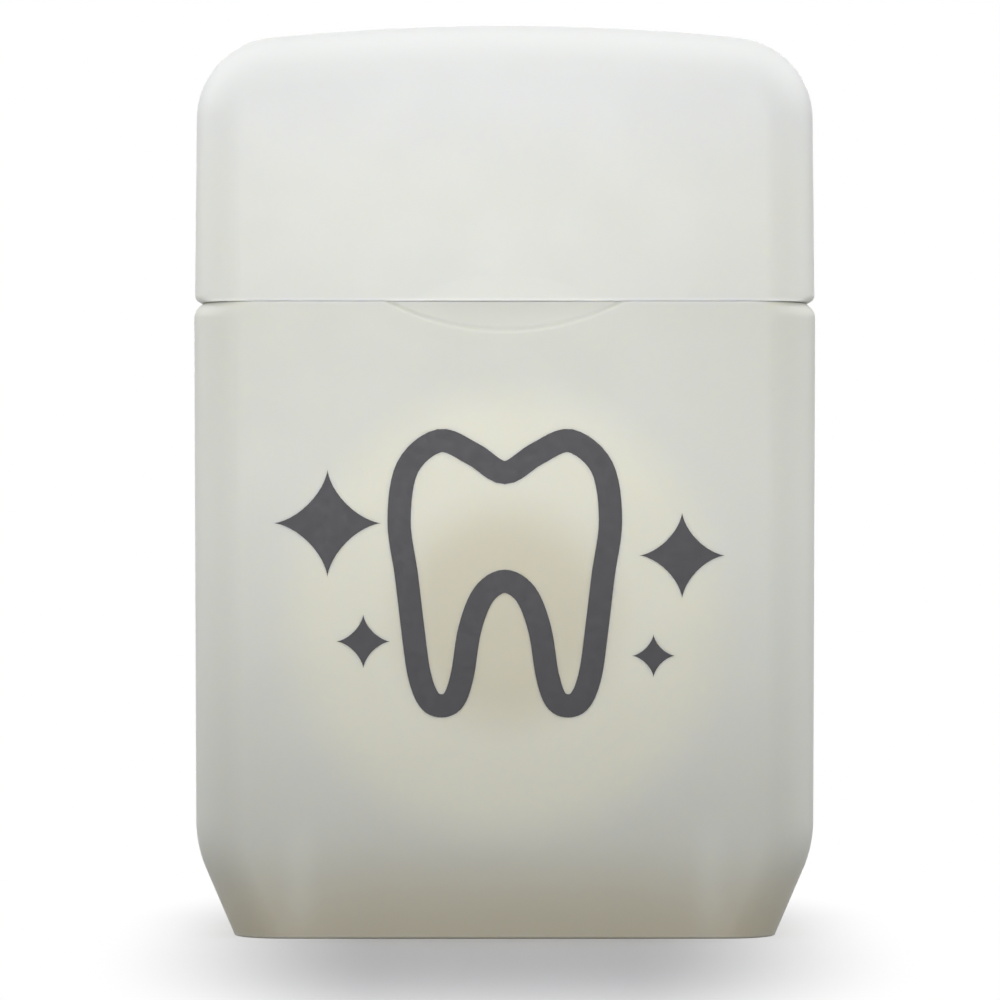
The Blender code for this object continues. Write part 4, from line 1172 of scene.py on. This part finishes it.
def platform_outline(inset):
    half_length, half_width = PLATFORM_LENGTH / 2 - inset, PLATFORM_WIDTH / 2 - inset
    outline = rounded_rectangle(half_length, half_width, max(PLATFORM_RADIUS - inset, SOFT_EDGE))
    return [(x + PLATFORM_MIDDLE, y) for x, y in outline]


def platform():
    """A boss under the cutter that flares into the deck and is rounded at its top."""
    steps = [(-FILLET, DECK_TOP - WELD_DEPTH), *flare_foot(DECK_TOP), *round_top(PLATFORM_TOP)]
    return loft([[(*point, z) for point in platform_outline(inset)] for inset, z in steps])


def outlet():
    """The outlet's wall, turned about the thread: fillet, round rim and a flare at each end of its bore."""
    low = DECK_BOTTOM - OUTLET_SKIRT
    high = DECK_TOP + OUTLET_RISE
    sunk = DECK_TOP - WELD_DEPTH
    profile = [(OUTLET_RADIUS, low), (OUTLET_RADIUS, sunk), (OUTLET_RADIUS + FILLET, sunk)]
    for inset, z in flare_foot(DECK_TOP) + round_top(high):
        profile.append((OUTLET_RADIUS - inset, z))
    throat = []
    for rising, falling in quarter_round(ROUND_STEPS * 2):
        throat.append((OUTLET_BORE + (OUTLET_MOUTH - OUTLET_BORE) * falling, OUTLET_FLARE * rising))
    profile += [(radius, high - drop) for radius, drop in throat]
    profile += [(radius, low + drop) for radius, drop in reversed(throat)]
    return moved(turned(profile, OUTLET_STEPS), Matrix.Translation((OUTLET_X, 0, 0)))


print(f"outlet: bore {OUTLET_BORE / MM * 2:.1f} mm, mouth {OUTLET_MOUTH / MM * 2:.1f} mm")

# %% Plate, rails and stand-offs
PLATE_THICKNESS = 1.0 * MM
PLATE_BACK = DECK_HALF_DEPTH
PLATE_FRONT = PLATE_BACK - PLATE_THICKNESS
PLATE_SPLAY_HEIGHT = 5.0 * MM
PLATE_SPLAY = 1.5 * MM
RAIL_THICKNESS = 1.0 * MM
RAIL_WALL_GAP = 2.3 * MM
RAIL_OUTSIDE = CAVITY_HALF_WIDTH - RAIL_WALL_GAP
RAIL_FOOT_HEIGHT = 8.0 * MM
RAIL_FOOT_DEPTH = 2.0 * MM
RAIL_TOP_DEPTH = 8.2 * MM
RAIL_SHOULDER_DROP = 4.5 * MM
STANDOFF_INSET = 2.5 * MM
STANDOFF_THICKNESS = 1.6 * MM
STANDOFF_HEIGHT = 4.0 * MM
FRAME_FOOT = frame_low.z
HANG_TOP = DECK_BOTTOM + WELD_DEPTH


def back_plate():
    foot = RAIL_OUTSIDE - PLATE_SPLAY
    shoulder = FRAME_FOOT + PLATE_SPLAY_HEIGHT
    right = [(foot, FRAME_FOOT), (RAIL_OUTSIDE, shoulder), (RAIL_OUTSIDE, HANG_TOP)]
    return facing_front(right + [(-x, z) for x, z in reversed(right)], PLATE_FRONT, PLATE_BACK)


def rail(side):
    """A side rail, deep at the deck and shallow at its foot."""
    back = PLATE_FRONT + WELD_DEPTH
    top = PLATE_FRONT - RAIL_TOP_DEPTH
    outline = [(back, HANG_TOP), (back, RAIL_FOOT_HEIGHT), (PLATE_FRONT - RAIL_FOOT_DEPTH, RAIL_FOOT_HEIGHT)]
    outline += [(top, DECK_BOTTOM - RAIL_SHOULDER_DROP), (top, HANG_TOP)]
    return facing_side(outline, *sorted((side * (RAIL_OUTSIDE - RAIL_THICKNESS), side * RAIL_OUTSIDE)))


def stand_off(side):
    """Keeps the frame's foot off the case's front wall. Over it the case's wall is painted lighter in a pale
    upright spot, as painted light.
    """
    across = about(side * (RAIL_OUTSIDE - STANDOFF_INSET), STANDOFF_THICKNESS / 2)
    depth = (SEAT_GAP * 2 - CAVITY_HALF_DEPTH, PLATE_FRONT + WELD_DEPTH)
    return block(across, depth, (FRAME_FOOT, FRAME_FOOT + STANDOFF_HEIGHT))


print(f"rails: {RAIL_OUTSIDE / MM * 2:.1f} mm apart over all")

# %% Split axle
AXLE_RADIUS = 4.9 * MM
AXLE_WALL = 1.2 * MM
AXLE_SLOT = 1.0 * MM
AXLE_SLOT_DEPTH = 5.0 * MM
AXLE_TIP_GAP = 0.85 * MM
AXLE_TIP = AXLE_TIP_GAP - CAVITY_HALF_DEPTH
BARB_REACH = 0.45 * MM
BARB_LENGTH = 0.8 * MM
TURN_STEPS = 128


def about_spool_axis(profile):
    """A body turned about the spool's axis, its heights running towards the back."""
    lie_down = Matrix.Translation((0, 0, AXIS_Z)) @ Matrix.Rotation(-math.pi / 2, 4, "X")
    return moved(turned(profile, TURN_STEPS), lie_down)


def axle():
    inner = AXLE_RADIUS - AXLE_WALL
    back = PLATE_FRONT + WELD_DEPTH
    barb = AXLE_RADIUS + BARB_REACH
    barb_end = AXLE_TIP + BARB_LENGTH
    profile = [(inner, back), (inner, AXLE_TIP), (AXLE_RADIUS, AXLE_TIP), (barb, barb_end - BARB_LENGTH / 2)]
    profile += [(barb, barb_end), (AXLE_RADIUS, barb_end), (AXLE_RADIUS, back)]
    depth = (AXLE_TIP - OVERRUN, AXLE_TIP + AXLE_SLOT_DEPTH)
    slots = []
    for across, up in ((AXLE_SLOT / 2, barb + OVERRUN), (barb + OVERRUN, AXLE_SLOT / 2)):
        slots.append(block(about(0, across), depth, about(AXIS_Z, up)))
    return carve(solid("axle", about_spool_axis(profile)), slots)


print(f"axle: {AXLE_RADIUS / MM * 2:.1f} mm across, slots {AXLE_SLOT_DEPTH / MM:.1f} mm deep")

# %% Frame
cutter_low, cutter_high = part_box("floss_cutter")
STEEL_THICKNESS = 0.3 * MM
LEG_HALF_WIDTH = 1.2 * MM
# Where the cutter's two legs go down, as low and high X.
LEGS = [(cutter_high.x - STEEL_THICKNESS, cutter_high.x), (cutter_low.x, cutter_low.x + STEEL_THICKNESS)]


def frame_cuts():
    """The hollow under the platform, the slots for the cutter's legs and the hole for the outlet."""
    hollow_top = PLATFORM_TOP - PLATFORM_WALL
    yield standing(platform_outline(PLATFORM_WALL), DECK_BOTTOM - OVERRUN, hollow_top)
    for low, high in LEGS:
        heights = (hollow_top - OVERRUN, PLATFORM_TOP + OVERRUN)
        yield block((low - SEAT_GAP, high + SEAT_GAP), about(0, LEG_HALF_WIDTH + SEAT_GAP), heights)
    hole = arc((OUTLET_X, 0), OUTLET_RADIUS - WELD_DEPTH, 0, math.tau, OUTLET_STEPS)
    yield standing(hole[:-1], DECK_BOTTOM - OVERRUN, DECK_TOP + OVERRUN)


deck = standing(rounded_rectangle(DECK_HALF_WIDTH, DECK_HALF_DEPTH, DECK_RADIUS), DECK_BOTTOM, DECK_TOP)
snap_frame = solid("moulded_frame", soften(deck, SOFT_EDGE), white_finish)
additions = [neck(), snap_bead(), platform(), soften(back_plate(), SOFT_EDGE)]
for side in (-1, 1):
    additions += [soften(rail(side), SOFT_EDGE), soften(stand_off(side), SOFT_EDGE)]
    additions.append(facing_front(lug_outline(side, 0), *about(0, LUG_LENGTH / 2)))
carve(snap_frame, additions, "UNION")
carve(snap_frame, frame_cuts())
carve(snap_frame, [outlet(), axle()], "UNION")
dress(snap_frame, "case", "white_polypropylene", "snap_in_frame")

# %% [markdown]
# ## The spool
#
# The spool is a bobbin: a short tube with two thin flanges. It is one section turned about the axis. The
# corners of the section are rounded first, and the turning carries the rounds all the way about, which no
# bevel after the turning would do as evenly. A notch in the front flange holds the thread's first end.

# %% Spool
SPOOL_CLEARANCE = 0.1 * MM
SPOOL_BORE = AXLE_RADIUS + SPOOL_CLEARANCE
FLANGE_THICKNESS = 0.7 * MM
FLANGE_EDGE = 0.25 * MM
ROOT_FILLET = 0.2 * MM
NOTCH_WIDTH = 1.0 * MM
NOTCH_DEPTH = 1.6 * MM
WINDING_FRONT = spool_low.y + FLANGE_THICKNESS


def spool_profile():
    """Half section of the spool, heights running from the front flange to the back one."""
    middle = (spool_low.y + spool_high.y) / 2
    front = [(SPOOL_BORE, middle), (SPOOL_BORE, spool_low.y), (FLANGE_RADIUS, spool_low.y)]
    front += [(FLANGE_RADIUS, WINDING_FRONT), (HUB_RADIUS, WINDING_FRONT)]
    back = [(radius, 2 * middle - height) for radius, height in reversed(front)]
    radii = [SOFT_EDGE, FLANGE_EDGE, FLANGE_EDGE, ROOT_FILLET]
    return rounded_path(front + back, radii + radii[::-1], ROUND_STEPS)[:-1]


spool = solid("thread_spool", about_spool_axis(spool_profile()), white_finish)
rim = AXIS_Z + FLANGE_RADIUS
depth = (spool_low.y - OVERRUN, WINDING_FRONT + SEAT_GAP)
carve(spool, [block(about(0, NOTCH_WIDTH / 2), depth, (rim - NOTCH_DEPTH, rim + OVERRUN))])
dress(spool, "spool", "white_polypropylene", "floss_spool")

# %% [markdown]
# ## Waxed floss
#
# Floss is a bundle of fine filaments, twisted loosely and waxed, so that it looks like a soft cord with low
# ridges. A plain tube with a bump map would have a smooth outline. Here the tube's own section is a ring of
# plies, and it turns as it goes along, so that the ridges are real. The same function makes the wound turns
# and the free end.
#
# The finish adds the filaments as a fine grain along the thread, and wax that is duller in some places.

# %% Floss finish and thread
PLIES = 4
SIDES_PER_PLY = 4
PLY_DEPTH_SHARE = 0.2
FULL_TWIST = 2.6 * MM


def waxed_floss():
    finish = Finish("waxed_floss")
    wax = finish.noise(1.4, detail=3.0)
    base = finish.blend(wax, colour(231, 225, 203), colour(244, 241, 228))
    filaments = finish.bumps(finish.noise(16.0, detail=3.0, stretch=(1, 0.6, 1)), 0.02 * MM)
    soft = {**scattering((1.0, 0.9, 0.7), 0.2 * MM, weight=0.8, ior=1.45), "Sheen Weight": 0.25}
    return finish.surface(base, 0.42 + wax * 0.2, filaments, soft)


def twisted_thread(points, diameter):
    """A thread of twisted plies along closely spaced points, with its ends closed."""
    places = np.array(points)
    ahead = np.gradient(places, axis=0)
    ahead /= np.linalg.norm(ahead, axis=1)[:, None]
    walked = np.concatenate([[0], np.cumsum(np.linalg.norm(np.diff(places, axis=0), axis=1))])
    angles = np.linspace(0, math.tau, PLIES * SIDES_PER_PLY, endpoint=False)
    radii = diameter / 2 * (1 - PLY_DEPTH_SHARE * (1 - np.abs(np.cos(angles * PLIES / 2))))
    side = np.cross(ahead[0], (0, 0, 1) if abs(ahead[0][2]) < 0.9 else (0, 1, 0))
    rings = []
    for place, forward, distance in zip(places, ahead, walked):
        side = side - forward * (side @ forward)
        side /= np.linalg.norm(side)
        turned_by = angles + math.tau * distance / FULL_TWIST
        ring = place + radii[:, None] * (
            np.cos(turned_by)[:, None] * side + np.sin(turned_by)[:, None] * np.cross(forward, side)
        )
        rings.append(ring.tolist())
    return loft(rings)


floss_finish = waxed_floss()
print(f"floss of {PLIES} plies, a full twist every {FULL_TWIST / MM:.1f} mm")

# %% [markdown]
# ## The winding
#
# Two pieces make the wound floss: the layers below, which show only as rows of ridges, and the outer layer,
# one unbroken thread laid turn beside turn from flange to flange. Modelling every layer as thread would
# cost a hundred times the faces for what nobody can see.

# %% Winding and outer turns
winding_low, winding_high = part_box("floss_winding")
turns_low, turns_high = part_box("floss_outer_turns")
FLOSS_DIAMETER = 0.5 * MM
OUTER_TURNS = 14
TURN_POINTS = 96
RIDGE_POINTS = 6
RIDGE_SHARE = 0.4  # of the floss's diameter, from the top of a ridge to the valley beside it
CROWN = 0.1 * MM


def lower_layers():
    """Half section of the layers below: one ridge for each turn, and slightly crowned."""
    inner = HUB_RADIUS + SEAT_GAP
    outer = winding_high.x
    profile = [(inner, winding_low.y)]
    for share in np.linspace(0, 1, OUTER_TURNS * RIDGE_POINTS + 1):
        valley = 1 - abs(math.sin(math.pi * share * OUTER_TURNS))
        crown = CROWN * (2 * share - 1) ** 2
        y = winding_low.y + (winding_high.y - winding_low.y) * share
        profile.append((outer - crown - FLOSS_DIAMETER * RIDGE_SHARE * valley, y))
    profile.append((inner, winding_high.y))
    return about_spool_axis(profile)


def outer_turns():
    """The outer layer as one thread, a helix between the flanges."""
    radius = turns_high.x - FLOSS_DIAMETER / 2
    front = turns_low.y + FLOSS_DIAMETER / 2
    back = turns_high.y - FLOSS_DIAMETER / 2
    points = []
    for share in np.linspace(0, 1, OUTER_TURNS * TURN_POINTS + 1):
        angle = math.tau * share * OUTER_TURNS
        y = front + (back - front) * share
        points.append((radius * math.cos(angle), y, AXIS_Z + radius * math.sin(angle)))
    return twisted_thread(points, FLOSS_DIAMETER)


winding = solid("wound_layers", lower_layers(), floss_finish)
dress(winding, "spool", "waxed_floss", "floss_winding")
turns = solid("wound_outer_layer", outer_turns(), floss_finish)
dress(turns, "spool", "waxed_floss", "floss_outer_turns")

# %% [markdown]
# ## The free end
#
# The thread leaves the spool at its left, rises through the outlet, crosses to the cutter, slips under its
# tongue and lies down on the deck, ready for a finger. Its route is a short list of given points, and a
# smooth curve runs through them.

# %% Free end
# x, y and z in millimetres
STRAND_ROUTE = [
    (-11.59, 0.25, 21.65), (-10.50, 0.22, 25.10), (-9.35, 0.15, 28.70), (-8.45, 0.06, 31.80),
    (-8.05, 0.00, 34.20), (-7.98, 0.00, 35.70), (-7.85, -0.05, 36.75), (-7.20, -0.30, 37.80),
    (-6.00, -0.85, 38.60), (-4.20, -1.35, 39.15), (-2.40, -1.30, 39.36), (-0.95, -0.80, 39.33),
    (-0.25, 0.00, 39.31), (0.30, 0.90, 39.33), (1.20, 1.90, 39.38), (2.60, 2.60, 39.42),
    (4.10, 2.95, 39.30), (5.40, 3.10, 38.60), (6.40, 3.15, 37.50), (7.20, 3.10, 36.40),
    (8.30, 2.95, 35.75), (9.90, 2.60, 35.66),
]
STRAND_SPACING = 0.2 * MM
CURVE_STEPS = 24


def smooth_curve(knots, steps):
    """Points of a smooth curve from the second of a row of knots to the last but one."""
    points = []
    for before, a, b, after in zip(knots, knots[1:], knots[2:], knots[3:]):
        for t in np.linspace(0, 1, steps, endpoint=False):
            pull = (b - before) * (t - 2 * t**2 + t**3) / 2 + (after - a) * (t**3 - t**2) / 2
            points.append(a * (1 - 3 * t**2 + 2 * t**3) + b * (3 * t**2 - 2 * t**3) + pull)
    return points


def evenly(points, spacing):
    """The same line with its points evenly spaced."""
    walked = np.cumsum([0] + [(q - p).length for p, q in zip(points, points[1:])])
    stations = np.linspace(0, walked[-1], round(walked[-1] / spacing) + 1)
    return list(zip(*[np.interp(stations, walked, [p[k] for p in points]) for k in range(3)]))


knots = [Vector(place) * MM for place in STRAND_ROUTE]
ends = [2 * knots[0] - knots[1], *knots, 2 * knots[-1] - knots[-2]]
route = evenly([*smooth_curve(ends, CURVE_STEPS), knots[-1]], STRAND_SPACING)
strand = solid("free_end", twisted_thread(route, FLOSS_DIAMETER), floss_finish)
dress(strand, "case", "waxed_floss", "floss_strand")

# %% [markdown]
# ## The cutter
#
# The cutter is a stamping of thin stainless strip. Two legs go down into the platform, and a pointed tongue
# is pushed up out of the middle, so that the thread can slip under it and be snapped off on its ground
# edge. It is built as it is stamped: a plate, its legs, a window cut out, and the tongue tilted up from the
# window's end.
#
# Rolled strip has fine lines along its length. They go into the roughness and the bump, drawn out along X.

# %% Cutter
CUTTER_LENGTH = 6.0 * MM
CUTTER_WIDTH = 5.0 * MM
CUTTER_GAP = 0.05 * MM
CUTTER_BOTTOM = PLATFORM_TOP + CUTTER_GAP
CUTTER_TOP = CUTTER_BOTTOM + STEEL_THICKNESS
TONGUE_LENGTH = 4.0 * MM
TONGUE_WIDTH = 2.6 * MM
TONGUE_POINT = 0.4 * MM
TONGUE_END = 1.25 * MM
TONGUE_ANGLE = math.radians(20)
TONGUE_GRIND = 0.14 * MM
WINDOW_CLEARANCE = 0.2 * MM
STEEL_EDGE = 0.04 * MM


def rolled_steel():
    finish = Finish("cutter_steel")
    lines = finish.noise(14.0, detail=4.0, stretch=(0.06, 1, 1))
    base = finish.blend(finish.noise(0.9, detail=3.0), colour(190, 190, 187), colour(214, 214, 212))
    return finish.surface(base, 0.2 + lines * 0.18, finish.bumps(lines, GRAIN_DEPTH), {"Metallic": 1.0})


def tongue_outline(root, clearance):
    """The tongue in plan: it points left, towards the outlet."""
    tip = root - TONGUE_LENGTH - clearance
    wide = TONGUE_WIDTH / 2 + clearance
    narrow = TONGUE_POINT / 2 + clearance
    return [(root, -wide), (root, wide), (tip, narrow), (tip, -narrow)]


def tongue(root):
    """The raised tongue, ground to an edge along its sides and point."""
    levels = [(0, 0), (STEEL_THICKNESS / 2, 0), (STEEL_THICKNESS, -TONGUE_GRIND)]
    bm = loft([[(x, y, z) for x, y in tongue_outline(0, grind)] for z, grind in levels])
    bmesh.ops.triangulate(bm, faces=bm.faces)
    place = Matrix.Translation((root + WELD_DEPTH / 2, 0, CUTTER_BOTTOM))
    return moved(bm, place @ Matrix.Rotation(TONGUE_ANGLE, 4, "Y"))


length, width = about(PLATFORM_MIDDLE, CUTTER_LENGTH / 2), about(0, CUTTER_WIDTH / 2)
plate = soften(block(length, width, (CUTTER_BOTTOM, CUTTER_TOP)), STEEL_EDGE, 2)
cutter = solid("steel_cutter", plate, rolled_steel())
leg_heights = (cutter_low.z, CUTTER_BOTTOM + STEEL_THICKNESS / 2)
legs = [soften(block(leg, about(0, LEG_HALF_WIDTH), leg_heights), STEEL_EDGE, 2) for leg in LEGS]
carve(cutter, legs, "UNION")
root = length[1] - TONGUE_END
window = tongue_outline(root, WINDOW_CLEARANCE)
carve(cutter, [standing(window, CUTTER_BOTTOM - OVERRUN, CUTTER_TOP + OVERRUN)])
carve(cutter, [tongue(root)], "UNION")
dress(cutter, "case", "cutter_steel", "floss_cutter")

# %% [markdown]
# ## The print
#
# Pad printing leaves a film of ink a few hundredths of a millimetre thick on the front of the case. The
# design here is a plain one: the outline of a tooth between sparkles. The outline is a ribbon along a
# smooth closed curve and each sparkle a four-pointed star, all as thin solids, so that the ink's edge is
# real and catches the light a little.
#
# The ink is almost black, not quite even, and it has the soft gloss of a dried varnish.

# %% Print
INK_FILM = 0.03 * MM
INK_SINK = 0.02 * MM
INK_FRONT = -HALF_DEPTH - INK_FILM
INK_BACK = -HALF_DEPTH + INK_SINK
PRINT_MIDDLE = 20.4 * MM
STROKE = 1.3 * MM
TOOTH_HALF_WIDTH = 5.9 * MM
TOOTH_HALF_HEIGHT = 7.4 * MM
# x and z of the tooth's right half, as shares of its half-width and half-height
TOOTH_SHARES = [
    (0.0, 0.76), (0.30, 0.90), (0.62, 1.0), (0.92, 0.80), (1.0, 0.40),
    (0.93, -0.02), (0.87, -0.42), (0.81, -0.76), (0.72, -0.95), (0.60, -1.0),
    (0.48, -0.95), (0.40, -0.76), (0.33, -0.42), (0.20, -0.16), (0.0, -0.06),
]
# x, z and reach of each sparkle in millimetres
SPARKLES = [(-9.9, 23.2, 3.0), (-7.9, 16.6, 1.5), (9.9, 21.4, 2.4), (8.3, 15.8, 1.2)]
SPARKLE_STEPS = 64


def charcoal_ink():
    finish = Finish("charcoal_ink")
    mottle = finish.noise(2.2, detail=5.0, roughness=0.65)
    base = finish.blend(mottle, colour(38, 37, 42), colour(52, 51, 56))
    return finish.surface(base, 0.45 + mottle * 0.2, finish.bumps(finish.noise(5.0, detail=4.0), GRAIN_DEPTH))


def tooth_line():
    """The tooth's outline as a smooth closed line of (x, z)."""
    right = [(x * TOOTH_HALF_WIDTH, PRINT_MIDDLE + z * TOOTH_HALF_HEIGHT) for x, z in TOOTH_SHARES]
    knots = [Vector(point) for point in right + [(-x, z) for x, z in reversed(right[1:-1])]]
    return smooth_curve([knots[-1], *knots, *knots[:2]], ROUND_STEPS)


def ribbon(line, width):
    """A thin closed band of ink along a closed (x, z) line."""
    rings = []
    for before, point, after in zip([line[-1], *line], line, [*line[1:], line[0]]):
        along = (after - before).normalized()
        out = Vector((along.y, -along.x)) * width / 2
        sides = [(out, INK_FRONT), (out, INK_BACK), (-out, INK_BACK), (-out, INK_FRONT)]
        rings.append([(point.x + side.x, y, point.y + side.y) for side, y in sides])
    return loft(rings, closed=True)


def sparkle(x, z, reach):
    angles = np.linspace(0, math.tau, SPARKLE_STEPS, endpoint=False)
    star = [(x + reach * math.cos(a) ** 3, z + reach * math.sin(a) ** 3) for a in angles]
    return facing_front([(x * MM, z * MM) for x, z in star], INK_FRONT, INK_BACK)


def joined(name, solids, material):
    """One object of several separate closed solids."""
    whole = bmesh.new()
    for bm in solids:
        mesh = bpy.data.meshes.new(name)
        bm.to_mesh(mesh)
        bm.free()
        whole.from_mesh(mesh)
        bpy.data.meshes.remove(mesh)
    return solid(name, whole, material)


strokes = [ribbon(tooth_line(), STROKE)] + [sparkle(*place) for place in SPARKLES]
front_print = shade(joined("front_print", strokes, charcoal_ink()))
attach(front_print, "case")
print(f"front_print: {len(strokes)} strokes")
